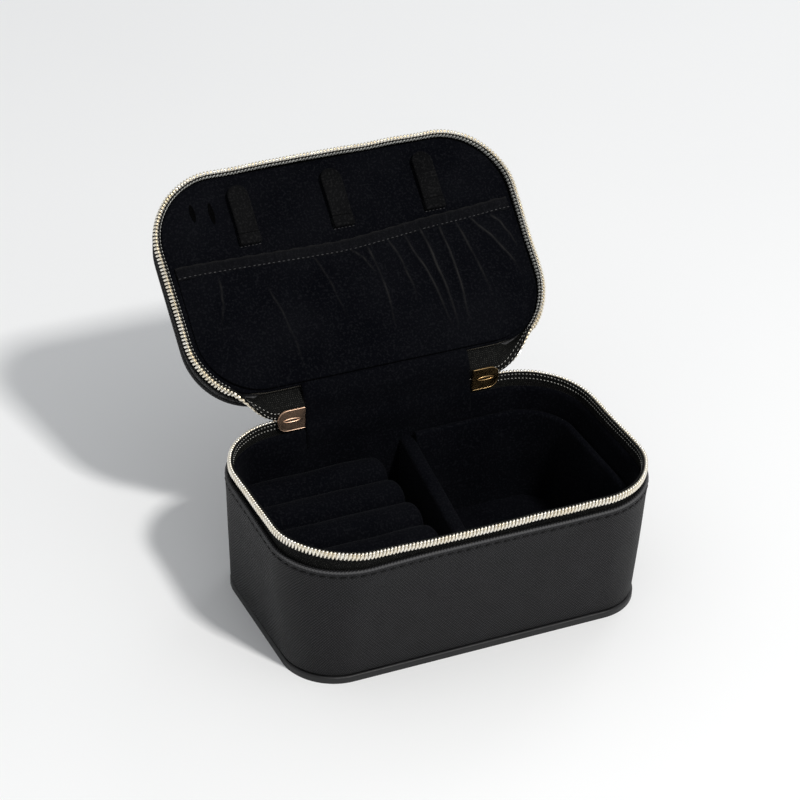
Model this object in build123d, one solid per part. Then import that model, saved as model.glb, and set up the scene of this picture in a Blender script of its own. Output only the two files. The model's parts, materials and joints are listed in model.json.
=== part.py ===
from build123d import *
import math
import os

# A zip-round jewellery case: a padded leather box with a lid that folds back on a leather hinge.
# Millimetres. X runs along the long side, Y runs back to the hinge, Z is up.
# The origin is the centre of the flat underside. The lid is drawn shut and then swung open.

os.makedirs("parts", exist_ok=True)

# ---- overall sizes ----
case_length = 160.0
case_width = 100.0
corner_radius = 31.0
foot_draw_in_x = 4.4
foot_draw_in_y = 4.15
foot_radius = 21.0
edge_height = 55.5
zip_stand = 6.0
lid_depth = 10.3
lid_top_draw_in = 3.5
lid_opening = 138.5

# ---- layers of the walls, each measured inwards from the leather's face ----
fit_gap = 0.05
leather_thick = 1.2
hem_height = 8.0
lid_hem_height = 6.0
board_thick = 1.8
tape_thick = 0.6
lining_thick = 1.45
hem_inset = 2 * leather_thick
board_inset = leather_thick + fit_gap
board_inner = board_inset + board_thick
tape_inset = hem_inset + fit_gap
tape_inner = tape_inset + tape_thick
lining_inset = max(board_inner, tape_inner) + fit_gap
lining_inner = lining_inset + lining_thick

# ---- foot, floor and edges ----
foot_thick = 2.8
foot_overhang = 0.6
foot_round = 0.8
groove_height = 0.5
floor_board_thick = 2.0
floor_velvet_thick = 1.3
lining_top = edge_height - 1.5
stitch_drop = 2.1
stitch_height = 0.5
stitch_proud = 0.2

# ---- zip ----
coil_height = 3.5
coil_thick = 1.45
coil_face_inset = hem_inset - coil_thick
head_gap = 0.1
tape_setback = 0.3
tape_tuck = 7.5
lid_tape_gap = 0.6

# ---- hinge ----
hinge_half = 36.5
hinge_velvet_thick = 1.15
hinge_tail = 8.0
swing_gap = 0.3

# ---- divider, liner and ring tray ----
divider_drop = 12.5
divider_thick = 6.2
divider_board_thick = 3.8
divider_skew = 7.0
divider_x = 2.0
liner_drop = 9.5
liner_gap = 2.0
liner_thick = 3.0
liner_board_thick = 1.6
tray_end_x = -7.3
tray_board_thick = 2.0
tray_side_gap = 0.1
roll_count = 5
roll_gap = 0.5
roll_drop = 1.3
roll_end_round = 3.0
drop_in_gap = 0.3

# ---- lid inside ----
lid_top_thick = 3.3
lid_top_round = 2.0
lid_board_thick = 2.5
inner_board_thick = 2.0
panel_thick = 1.65
panel_rise = 3.1
panel_gap = 1.95
pocket_gap = 4.9
pocket_hem_width = 5.5
pocket_hem_thick = 2.15
pocket_thick = 1.65
pocket_inset = 1.0

# ---- necklace straps ----
strap_count = 3
strap_pitch = 41.0
strap_shift = 1.0
strap_width = 8.8
strap_thick = 1.25
strap_length = 20.5
strap_edge_gap = 4.0
anchor_length = 4.0
snap_radius = 3.2
snap_post_radius = 1.3
snap_clearance = 0.1
stud_plate_thick = 0.5
snap_socket_thick = 0.8
snap_from_end = 5.2

# ---- sliders and pulls ----
slider_from_hinge = 0.7
slider_length = 11.5
slider_run = 4.5
slider_plate = 1.0
slider_lip = 0.7
slider_clearance = 0.3
slider_inner_clearance = 0.5
slider_post_length = 2.6
crown_length = 8.0
crown_width = 1.6
crown_bar = 1.0
crown_drop = 0.9
pull_length = 20.0
pull_width = 6.6
pull_neck_width = 3.6
pull_thick = 1.3
eye_radius = 1.9
eye_hole = 1.15
eye_width = 1.8

# ---- worked out from the sizes above ----
foot_length = case_length - 2 * foot_draw_in_x
foot_width = case_width - 2 * foot_draw_in_y
wall_foot = foot_thick + groove_height
hinge_y = case_width / 2
rim_height = edge_height + zip_stand
lid_edge = rim_height + zip_stand
lid_wall_top = lid_edge + lid_depth
lid_panel_bottom = lid_wall_top + groove_height
panel_face = rim_height + panel_rise
floor_board_top = foot_thick + fit_gap + floor_board_thick
floor_top = floor_board_top + fit_gap + floor_velvet_thick
panel_inset = tape_inner + panel_gap
panel_top = panel_face + panel_thick
inner_board_top = panel_top + fit_gap + inner_board_thick
lid_board_bottom = lid_panel_bottom - lid_board_thick
coil_root = rim_height - head_gap - coil_height
coil_head = rim_height - head_gap
divider_top = edge_height - divider_drop
liner_top = edge_height - liner_drop
strap_free_y = panel_inset + strap_edge_gap - case_width / 2
strap_root_y = strap_free_y + strap_length
anchor_y = strap_root_y + 2 * swing_gap
pocket_edge_y = anchor_y + anchor_length + pocket_gap
slider_x = hinge_half + slider_from_hinge
lid_tape_end = slider_x + slider_length + slider_run + lid_tape_gap


# ---- shared shapes ----
def between(low, high, share):
    return low + (high - low) * share


def base_outline(z):
    """Length, width and corner radius of the base's leather at a height."""
    share = min(max((z - wall_foot) / (edge_height - wall_foot), 0), 1)
    return (
        between(foot_length - 2 * foot_overhang, case_length, share),
        between(foot_width - 2 * foot_overhang, case_width, share),
        between(foot_radius - foot_overhang, corner_radius, share),
    )


def lid_outline(z):
    """The same three sizes for the lid's leather, with the lid shut."""
    share = min(max((z - lid_edge) / lid_depth, 0), 1)
    draw_in = lid_top_draw_in * share
    return case_length - 2 * draw_in, case_width - 2 * draw_in, corner_radius - draw_in


def section(outline, inset, z):
    length, width, radius = outline(z)
    return Pos(0, 0, z) * RectangleRounded(length - 2 * inset, width - 2 * inset, radius - inset)


def block(outline, inset, low, high):
    """The solid inside an outline, from one height to another, following its slope."""
    bends = (wall_foot, edge_height, lid_edge, lid_wall_top)
    levels = [low] + [z for z in bends if low < z < high] + [high]
    return loft([section(outline, inset, z) for z in levels], ruled=True)


def shell(outline, outer, inner, low, high):
    return block(outline, outer, low, high) - block(outline, inner, low, high)


def back_gap(half):
    """A cutter for the stretch of the back wall between the two zip ends."""
    return Pos(0, case_width / 2, rim_height) * Box(2 * half, case_width / 2, 4 * edge_height)


def side_of_divider(offset, side):
    """Everything to one side of a plane parallel to the divider's middle."""
    reach = 2 * case_length
    half_space = Pos(side * reach / 2 + offset, 0, rim_height) * Box(reach, reach, reach)
    return Pos(divider_x, 0, 0) * Rot(0, 0, -divider_skew) * half_space


def box_between(x0, x1, y0, y1, z0, z1):
    centre = Pos((x0 + x1) / 2, (y0 + y1) / 2, (z0 + z1) / 2)
    return centre * Box(x1 - x0, y1 - y0, z1 - z0)


# ---- base ----
def foot_panel():
    size = (foot_length, foot_width)
    panel = extrude(RectangleRounded(*size, foot_radius), foot_thick)
    return fillet(panel.faces().sort_by(Axis.Z)[-1].edges(), foot_round)


def leather_wall(outline, low, high, hem_low, hem_high):
    """A leather wall whose edge is folded in, so it is double over the hem."""
    wall = block(outline, 0, low, high)
    hem = block(outline, hem_inset, hem_low, hem_high)
    single_low = low if hem_low > low else hem_high
    single_high = hem_low if hem_low > low else high
    return wall - hem - block(outline, leather_thick, single_low, single_high)


def base_pieces():
    hem_low = edge_height - hem_height
    lining_low = floor_board_top + fit_gap
    stitch_high = edge_height - stitch_drop
    return {
        "foot_panel": foot_panel(),
        "base_leather": leather_wall(base_outline, wall_foot, edge_height, hem_low, edge_height),
        "base_wall_board": shell(
            base_outline, board_inset, board_inner, foot_thick + fit_gap, hem_low - fit_gap
        ),
        "base_floor_board": block(
            base_outline, board_inner + fit_gap, foot_thick + fit_gap, floor_board_top
        ),
        "base_lining": shell(base_outline, lining_inset, lining_inner, lining_low, lining_top),
        "floor_velvet": block(base_outline, lining_inner + fit_gap, lining_low, floor_top),
        "base_topstitch": shell(
            base_outline, -stitch_proud, 0, stitch_high - stitch_height, stitch_high
        ),
    }


# ---- zip ----
def base_zip():
    gap = back_gap(hinge_half + fit_gap)
    tape_high = coil_head - tape_setback
    tape = shell(base_outline, tape_inset, tape_inner, edge_height - tape_tuck, tape_high)
    coil = shell(base_outline, coil_face_inset, hem_inset, coil_root, coil_head)
    return {"base_zip_tape": tape - gap, "base_zip_coil": coil - gap}


def lid_zip():
    gap = back_gap(lid_tape_end)
    head = rim_height + head_gap
    tape_high = lid_edge + lid_hem_height - fit_gap
    tape = shell(lid_outline, tape_inset, tape_inner, head + tape_setback, tape_high)
    coil = shell(lid_outline, coil_face_inset, hem_inset, head, head + coil_height)
    return {"lid_zip_tape": tape - gap, "lid_zip_coil": coil - gap}


# ---- hinge strip ----
def across_hinge(profile):
    """A profile of (inset, height) points, drawn out along the hinge."""
    points = [(-hinge_half, base_outline(z)[1] / 2 - inset, z) for inset, z in profile]
    return extrude(make_face(Polyline(*points, close=True)), 2 * hinge_half, dir=(1, 0, 0))


def hinge_pieces():
    top = lid_edge - swing_gap
    foot = edge_height + fit_gap
    tail = edge_height - hinge_tail + fit_gap
    bend = foot + leather_thick
    velvet = leather_thick + fit_gap + hinge_velvet_thick
    leather = across_hinge(
        [
            (0, foot),
            (0, top),
            (leather_thick, top),
            (leather_thick, bend),
            (tape_inner, bend),
            (tape_inner, edge_height),
            (tape_inner, tail),
            (tape_inset, tail),
            (tape_inset, foot),
        ]
    )
    face = across_hinge(
        [
            (leather_thick + fit_gap, bend + fit_gap),
            (leather_thick + fit_gap, top),
            (velvet, top),
            (velvet, bend + 2 * hinge_velvet_thick),
            (lining_inner, bend + hinge_velvet_thick),
            (lining_inner, lining_top + fit_gap),
            (lining_inset, lining_top + fit_gap),
            (lining_inset, edge_height),
            (lining_inset, bend + fit_gap),
        ]
    )
    return {"hinge_leather": leather, "hinge_velvet": face}


# ---- divider, liner of the open compartment, and ring tray ----
def divider_pieces():
    room = block(base_outline, lining_inner + fit_gap, floor_top + fit_gap, divider_top)
    skin = (divider_thick - divider_board_thick) / 2
    wrap = room & side_of_divider(-divider_thick / 2, 1) & side_of_divider(divider_thick / 2, -1)
    core = block(base_outline, lining_inner + skin, floor_top + fit_gap, divider_top - skin)
    core = core & side_of_divider(-divider_board_thick / 2, 1)
    core = core & side_of_divider(divider_board_thick / 2, -1)
    return {"divider_board": core, "divider_velvet": wrap - core}


def liner_pieces():
    outer = lining_inner + liner_gap
    skin = (liner_thick - liner_board_thick) / 2
    low = floor_top + fit_gap
    right = side_of_divider(divider_thick / 2 + fit_gap, 1)
    wrap = shell(base_outline, outer, outer + liner_thick, low, liner_top)
    board_outer = outer + skin
    core = shell(base_outline, board_outer, board_outer + liner_board_thick, low, liner_top - skin)
    return {"liner_board": core & right, "liner_velvet": (wrap - core) & right}


def ring_tray_pieces():
    """A foam block on a board, with velvet rolls side by side across the whole tray."""
    inset = lining_inner + drop_in_gap
    board_low = floor_top + fit_gap
    board_high = board_low + tray_board_thick
    roll_top = divider_top - roll_drop
    room_width = base_outline((board_high + roll_top) / 2)[1] - 2 * inset
    roll_pitch = (room_width - 2 * tray_side_gap) / roll_count
    roll_radius = (roll_pitch - roll_gap) / 2
    roll_middle = roll_top - roll_radius
    foam_high = roll_middle - roll_radius - fit_gap
    left = box_between(-case_length, tray_end_x, -case_width, case_width, 0, edge_height)
    pieces = {
        "ring_tray_board": block(base_outline, inset, board_low, board_high) & left,
        "ring_tray_foam": block(base_outline, inset, board_high + fit_gap, foam_high) & left,
    }
    room = block(base_outline, inset, board_low, edge_height)
    reach = case_length / 2 + tray_end_x
    for number in range(roll_count):
        y = (number - (roll_count - 1) / 2) * roll_pitch
        roll = Rot(0, 90, 0) * Cylinder(roll_radius, reach)
        roll = Pos(tray_end_x - reach / 2, y, roll_middle) * roll
        roll = fillet(roll.edges().sort_by(Axis.X)[-1], roll_end_round)
        pieces[f"ring_roll_{number + 1}"] = roll & room
    return pieces


# ---- lid, drawn shut ----
def lid_top_panel():
    length, width, radius = lid_outline(lid_wall_top)
    size = (length + 2 * foot_overhang, width + 2 * foot_overhang)
    panel = extrude(RectangleRounded(*size, radius + foot_overhang), lid_top_thick)
    panel = fillet(panel.faces().sort_by(Axis.Z)[-1].edges(), lid_top_round)
    return Pos(0, 0, lid_panel_bottom) * panel


def lid_shell_pieces():
    hem_high = lid_edge + lid_hem_height
    board_low = hem_high + fit_gap
    board_high = lid_panel_bottom - fit_gap
    stitch_low = lid_edge + stitch_drop
    return {
        "lid_top_panel": lid_top_panel(),
        "lid_leather": leather_wall(lid_outline, lid_edge, lid_wall_top, lid_edge, hem_high),
        "lid_wall_board": shell(lid_outline, board_inset, board_inner, board_low, board_high),
        "lid_top_board": block(lid_outline, board_inner + fit_gap, lid_board_bottom, board_high),
        "lid_foam": block(
            lid_outline, lining_inset + drop_in_gap, inner_board_top + fit_gap, lid_board_bottom - fit_gap
        ),
        "lid_topstitch": shell(
            lid_outline, -stitch_proud, 0, stitch_low, stitch_low + stitch_height
        ),
    }


def lid_inner_pieces():
    inset = panel_inset + pocket_inset
    thread_y = pocket_edge_y + pocket_hem_width
    back = box_between(-case_length, case_length, thread_y + fit_gap, case_width, 0, panel_face)
    hem_zone = box_between(-case_length, case_length, pocket_edge_y, thread_y, 0, panel_face)
    thread = box_between(
        -case_length, case_length, thread_y - 2 * stitch_height, thread_y - stitch_height, 0, panel_face
    )
    top = panel_face - fit_gap
    hem_low = top - pocket_hem_thick
    return {
        "lid_inner_board": block(
            lid_outline, panel_inset + fit_gap, panel_top + fit_gap, inner_board_top
        ),
        "lid_panel_velvet": block(lid_outline, panel_inset, panel_face, panel_top),
        "pocket": block(lid_outline, inset, top - pocket_thick, top) & back,
        "pocket_hem": block(lid_outline, inset, hem_low, top) & hem_zone,
        "pocket_stitching": block(lid_outline, inset, hem_low - stitch_proud, hem_low) & thread,
    }


def strap_axis():
    """Where every strap folds, as (y, z) with the lid shut: its outer face, at the sewn end."""
    stack = stud_plate_thick + snap_socket_thick + strap_thick + 3 * fit_gap
    return strap_root_y + swing_gap, panel_face - stack


def strap_pieces(number):
    """One snap strap: the flap swings about the end that is sewn to the panel."""
    x = (number - (strap_count - 1) / 2) * strap_pitch + strap_shift
    plate_low = panel_face - fit_gap - stud_plate_thick
    socket_high = plate_low - fit_gap
    socket_low = socket_high - snap_socket_thick
    strap_high = socket_low - fit_gap
    strap_low = strap_axis()[1]
    snap_y = strap_free_y + snap_from_end
    half = strap_width / 2
    flap = box_between(x - half, x + half, strap_free_y, strap_root_y, strap_low, strap_high)
    flap = fillet(flap.edges().filter_by(Axis.Z).sort_by(Axis.Y)[:2], half - fit_gap)
    anchor = box_between(
        x - half, x + half, anchor_y, anchor_y + anchor_length, strap_low, panel_face - fit_gap
    )
    plate = Pos(x, snap_y, plate_low + stud_plate_thick / 2) * Cylinder(snap_radius, stud_plate_thick)
    post = Cylinder(snap_post_radius, snap_socket_thick)
    post = Pos(x, snap_y, plate_low - snap_socket_thick / 2) * post
    hole = Cylinder(snap_post_radius + snap_clearance, 2 * snap_socket_thick)
    ring = Cylinder(snap_radius, snap_socket_thick) - hole
    name = number + 1
    return {
        f"strap_{name}": flap,
        f"strap_anchor_{name}": anchor,
        f"snap_stud_{name}": plate + post,
        f"snap_socket_{name}": Pos(x, snap_y, (socket_low + socket_high) / 2) * ring,
    }


def swing_open(piece):
    """Turns a piece of the lid about the hinge, from shut to open."""
    hinge = Pos(0, hinge_y, lid_edge)
    return hinge * Rot(-lid_opening, 0, 0) * hinge.inverse() * piece


# ---- slider and pull of the right-hand zip end ----
def slider_levels():
    """Low and high z of the room for both coils inside a slider."""
    room = coil_height + head_gap + slider_clearance
    return rim_height - room, rim_height + room


def crown_centre():
    """Middle of the crown's bar, where the pull's eye hangs, as (y, z)."""
    outer_face = hinge_y - coil_face_inset + slider_clearance + slider_plate
    return outer_face + eye_radius + slider_clearance / 2, rim_height - crown_drop


def slider_outline(y0, y1):
    """Plate from one y to another: square towards the hinge and rounded at the other end."""
    low, high = slider_levels()
    plate = box_between(
        slider_x, slider_x + slider_length, y0, y1, low - slider_lip, high + slider_lip
    )
    nose = plate.edges().filter_by(Axis.Y).sort_by(Axis.X)[-2:]
    return fillet(nose, slider_length / 3)


def slider():
    low, high = slider_levels()
    coil_face = hinge_y - coil_face_inset
    outer_in = coil_face + slider_clearance
    inner_out = hinge_y - tape_inner - slider_inner_clearance
    lip_in = hinge_y - tape_inset + slider_clearance
    body = slider_outline(lip_in, outer_in + slider_plate)
    body -= box_between(0, case_length, lip_in, outer_in, low, high)
    body += slider_outline(inner_out - slider_plate, inner_out)
    nose = slider_x + slider_length - 1
    body += box_between(
        nose - slider_post_length,
        nose,
        inner_out - slider_plate / 2,
        outer_in + slider_plate / 2,
        rim_height + slider_clearance,
        rim_height + coil_height - slider_clearance,
    )
    crown_y, crown_z = crown_centre()
    middle = slider_x + slider_length / 2
    arch = box_between(
        middle - crown_length / 2,
        middle + crown_length / 2,
        outer_in + slider_plate / 2,
        crown_y + crown_bar / 2,
        crown_z - crown_width / 2,
        crown_z + crown_width / 2,
    )
    arch = fillet(arch.edges().filter_by(Axis.Z).sort_by(Axis.Y)[-2:], crown_bar)
    window = box_between(
        middle - crown_length / 2 + crown_bar,
        middle + crown_length / 2 - crown_bar,
        outer_in + slider_plate,
        crown_y - crown_bar / 2,
        crown_z - crown_width,
        crown_z + crown_width,
    )
    return body + (arch - window)


def pull():
    """A slim tab that hangs from the crown by an eye across its top."""
    crown_y, crown_z = crown_centre()
    middle = slider_x + slider_length / 2
    top = crown_z - (eye_radius + eye_hole) / 2
    low = top - pull_length
    half_neck = pull_neck_width / 2
    half = pull_width / 2
    shape = Polyline(
        (middle - half_neck, 0, top),
        (middle + half_neck, 0, top),
        (middle + half, 0, low + half),
        (middle + half, 0, low),
        (middle - half, 0, low),
        (middle - half, 0, low + half),
        close=True,
    )
    tab = extrude(make_face(shape), pull_thick / 2, dir=(0, 1, 0), both=True)
    tab = fillet(tab.edges().filter_by(Axis.Y).sort_by(Axis.Z)[:2], half - 2 * fit_gap)
    tab = Pos(0, crown_y, 0) * tab
    eye = Rot(0, 90, 0) * (Cylinder(eye_radius, eye_width) - Cylinder(eye_hole, 2 * eye_width))
    hole = Rot(0, 90, 0) * Cylinder(eye_hole, 2 * pull_width)
    centre = Pos(middle, crown_y, crown_z)
    return (tab - centre * hole) + centre * eye


# ---- build, check that each piece is one solid, and write ----
def all_pieces():
    pieces = {}
    for group in (base_pieces(), base_zip(), hinge_pieces(), divider_pieces(), liner_pieces()):
        pieces.update(group)
    pieces.update(ring_tray_pieces())
    lid = {**lid_shell_pieces(), **lid_zip(), **lid_inner_pieces()}
    for number in range(strap_count):
        lid.update(strap_pieces(number))
    for name, piece in lid.items():
        pieces[name] = swing_open(piece)
    for name, make in (("slider", slider), ("pull", pull)):
        piece = make()
        pieces[f"{name}_right"] = piece
        pieces[f"{name}_left"] = mirror(piece, about=Plane.YZ)
    return pieces


def turned(y, z):
    """A (y, z) place on the shut lid, after the lid is swung open."""
    angle = math.radians(-lid_opening)
    y, z = y - hinge_y, z - lid_edge
    across = y * math.cos(angle) - z * math.sin(angle)
    up = y * math.sin(angle) + z * math.cos(angle)
    return hinge_y + across, lid_edge + up


for name, piece in all_pieces().items():
    solids = piece.solids()
    print(f"{name:20s} solids {len(solids)} volume {sum(s.volume for s in solids):10.1f}")
    export_step(piece, f"parts/{name}.step")

print("lid hinge y, z:", hinge_y, lid_edge)
print("strap axis y, z (open):", turned(*strap_axis()))
print("crown centre y, z:", crown_centre())
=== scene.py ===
import json
import logging
import math
from dataclasses import dataclass, field
from enum import Enum
from typing import Callable, Sequence

import bmesh
import bpy
import numpy as np
from mathutils import Matrix, Vector, noise


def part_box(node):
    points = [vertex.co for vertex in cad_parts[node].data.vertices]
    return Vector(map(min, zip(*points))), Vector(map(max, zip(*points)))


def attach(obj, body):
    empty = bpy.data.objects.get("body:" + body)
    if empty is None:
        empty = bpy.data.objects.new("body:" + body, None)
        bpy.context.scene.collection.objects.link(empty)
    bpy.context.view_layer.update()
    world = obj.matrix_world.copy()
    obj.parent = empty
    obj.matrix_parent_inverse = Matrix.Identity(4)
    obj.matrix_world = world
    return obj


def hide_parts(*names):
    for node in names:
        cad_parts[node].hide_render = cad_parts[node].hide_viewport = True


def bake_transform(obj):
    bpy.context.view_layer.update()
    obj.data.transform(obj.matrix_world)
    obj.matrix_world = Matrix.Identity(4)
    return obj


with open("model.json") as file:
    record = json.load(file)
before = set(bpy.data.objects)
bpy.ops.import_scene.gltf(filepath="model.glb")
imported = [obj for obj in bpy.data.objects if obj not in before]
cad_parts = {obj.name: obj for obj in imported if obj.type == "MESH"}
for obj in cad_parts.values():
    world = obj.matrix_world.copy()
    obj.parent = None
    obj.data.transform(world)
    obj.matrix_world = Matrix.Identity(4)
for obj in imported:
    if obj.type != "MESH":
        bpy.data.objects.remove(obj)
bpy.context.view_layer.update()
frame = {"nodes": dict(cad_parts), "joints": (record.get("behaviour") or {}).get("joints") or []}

LOG = logging.getLogger("jewellery_case")
MM = 0.001
CLOTH_FRAMES = 20
CLOTH_THICK = 0.55
Colour = tuple[float, float, float, float]
Warp = Callable[[np.ndarray], np.ndarray]
Piece = bpy.types.Object
Mesh = bpy.types.Mesh
Material = bpy.types.Material
Node = bpy.types.Node
Socket = bpy.types.NodeSocket
Tree = bpy.types.NodeTree


# ---------------------------------------------------------------- named choices
class Body(Enum):
    """The moving bodies that pieces ride on."""

    BASE = "base"
    LID = "lid"


class Slot(Enum):
    """The record's material slots."""

    LEATHER = "leather"
    SMOOTH = "smooth_leather"
    VELVET = "velvet"
    BOARD = "board"
    FOAM = "foam"
    TAPE = "tape"
    COIL = "coil"
    GOLD = "gold"
    SNAP = "snap"
    THREAD = "thread"


class Effect(Enum):
    """Surface effects that more than one finish uses."""

    CROSSHATCH = "crosshatch_grain"
    MOTTLE = "mottle"
    FIBRE = "fibre_nap"
    WEAVE = "tape_weave"


# ---------------------------------------------------------------- small sums
def smooth(value: np.ndarray) -> np.ndarray:
    """Eases 0..1 so that it starts and stops gently."""
    share = np.clip(value, 0.0, 1.0)
    return share * share * (3.0 - 2.0 * share)


def ripple(run: np.ndarray, size: float, amount: float, seed: float) -> np.ndarray:
    """A slow, repeatable unevenness along a length.

    Args:
        run: Lengths along the piece, in millimetres.
        size: Usual length of one swell, in millimetres.
        amount: Largest height of a swell, in millimetres.
        seed: Picks the pattern.

    Returns:
        One height for each length.
    """
    flat = np.atleast_1d(np.asarray(run, float))
    values = [noise.noise(Vector((r / size, seed, 0.37))) for r in flat.ravel()]
    return amount * np.array(values).reshape(flat.shape)


def crumple(points: np.ndarray, size: float, amount: float, seed: float) -> np.ndarray:
    """A slow unevenness over a surface.

    Args:
        points: Places in millimetres, one to a row.
        size: Usual width of one swell, in millimetres.
        amount: Largest height of a swell, in millimetres.
        seed: Picks the pattern.

    Returns:
        One height for each place.
    """
    values = [noise.noise(Vector(p) / size + Vector((seed, seed, seed))) for p in points]
    return amount * np.array(values)


# ---------------------------------------------------------------- the case's outline
@dataclass(frozen=True)
class RimShape:
    """A rounded rectangle that changes evenly from one height to another, in millimetres.

    A place on it is a run, which is the length round the rim from the middle of the back,
    first to the right, with a distance in from the leather's face and a height.
    """

    low: float
    high: float
    length: tuple[float, float]
    width: tuple[float, float]
    radius: tuple[float, float]

    def size_at(self, z: np.ndarray) -> tuple[np.ndarray, np.ndarray, np.ndarray]:
        """Half length, half width and corner radius at each height."""
        share = np.clip((np.asarray(z, float) - self.low) / (self.high - self.low), 0, 1)
        length = self.length[0] + (self.length[1] - self.length[0]) * share
        width = self.width[0] + (self.width[1] - self.width[0]) * share
        radius = self.radius[0] + (self.radius[1] - self.radius[0]) * share
        return length / 2, width / 2, radius

    def place(self, run: np.ndarray, inset: np.ndarray, z: np.ndarray) -> np.ndarray:
        """Places on the rim.

        Args:
            run: Lengths round the rim from the middle of the back.
            inset: Distances in from the leather's face.
            z: Heights.

        Returns:
            One x, y, z for each run.
        """
        run, inset, z = np.broadcast_arrays(np.asarray(run, float), inset, z)
        half_length, half_width, radius = self.size_at(z)
        rounding = np.maximum(radius - inset, 0.3)
        across = half_length - inset - rounding
        along = half_width - inset - rounding
        angle = np.radians(np.interp(run, RUN_STOPS, RUN_ANGLES))
        x = np.interp(run, RUN_STOPS, RUN_ACROSS) * across + rounding * np.cos(angle)
        y = np.interp(run, RUN_STOPS, RUN_ALONG) * along + rounding * np.sin(angle)
        return np.stack([x, y, z * np.ones_like(x)], axis=-1)


def run_stops(length: float, width: float, radius: float) -> list[float]:
    """Where each side and corner of the rim starts, as runs."""
    side, end, corner = length - 2 * radius, width - 2 * radius, radius * math.pi / 2
    steps = [side / 2, corner, end, corner, side, corner, end, corner, side / 2]
    stops = [0.0]
    for step in steps:
        stops.append(stops[-1] + step)
    return stops


BASE_LOW, BASE_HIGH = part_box("base_leather")
BASE_SIZE = (BASE_HIGH - BASE_LOW) / MM
CORNER_RADIUS = 31.0
RUN_STOPS = run_stops(160.0, 100.0, CORNER_RADIUS)
RUN_ACROSS = [0, 1, 1, 1, 1, -1, -1, -1, -1, 0]
RUN_ALONG = [1, 1, 1, -1, -1, -1, -1, 1, 1, 1]
RUN_ANGLES = [90, 90, 0, 0, -90, -90, -180, -180, -270, -270]
ROUND = RUN_STOPS[-1]
WALL_FOOT, EDGE = BASE_LOW.z / MM, BASE_HIGH.z / MM
HINGE = next(j for j in frame["joints"] if j["name"] == "lid_hinge")
HINGE_Y, HINGE_Z = HINGE["pos_m"][1] / MM, HINGE["pos_m"][2] / MM
OPENING = math.radians(HINGE["range_deg"][1])
BASE_RIM = RimShape(WALL_FOOT, EDGE, (150.0, BASE_SIZE.x), (90.5, BASE_SIZE.y), (20.4, CORNER_RADIUS))
LID_TOP = HINGE_Z + 10.3
LID_RIM = RimShape(HINGE_Z, LID_TOP, (160.0, 153.0), (100.0, 93.0), (CORNER_RADIUS, 27.5))


def around(count: int) -> np.ndarray:
    """Evenly spaced runs all the way round the rim."""
    return np.linspace(0, ROUND, count, endpoint=False)


def from_back(runs: np.ndarray) -> np.ndarray:
    """How far each run is from the middle of the back, the shorter way round."""
    return np.minimum(runs, ROUND - runs)


def box_mm(node: str) -> tuple[Vector, Vector]:
    """The low and high corners of a CAD node's box, in millimetres."""
    low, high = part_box(node)
    return low / MM, high / MM


def turns_of(count: int) -> np.ndarray:
    """Evenly spaced angles round a full turn."""
    return np.linspace(0, 2 * math.pi, count, endpoint=False)


def swung(points: np.ndarray, share: np.ndarray | float = 1.0) -> np.ndarray:
    """Turns places drawn on the shut lid to where they are with it open.

    Args:
        points: Places in millimetres, as (..., 3).
        share: How much of the opening each place takes part in.

    Returns:
        The turned places.
    """
    angle = -OPENING * np.asarray(share, float)
    y, z = points[..., 1] - HINGE_Y, points[..., 2] - HINGE_Z
    turned = np.array(points, float)
    turned[..., 1] = HINGE_Y + y * np.cos(angle) - z * np.sin(angle)
    turned[..., 2] = HINGE_Z + y * np.sin(angle) + z * np.cos(angle)
    return turned


# ---------------------------------------------------------------- making meshes
def placed(name: str, data: bpy.types.ID) -> Piece:
    """A new object with some data, put into the scene."""
    made = bpy.data.objects.new(name, data)
    bpy.context.scene.collection.objects.link(made)
    return made


def baked(piece: Piece) -> Mesh:
    """A plain mesh of an object as its modifiers leave it."""
    graph = bpy.context.evaluated_depsgraph_get()
    return bpy.data.meshes.new_from_object(piece.evaluated_get(graph), depsgraph=graph)


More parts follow.
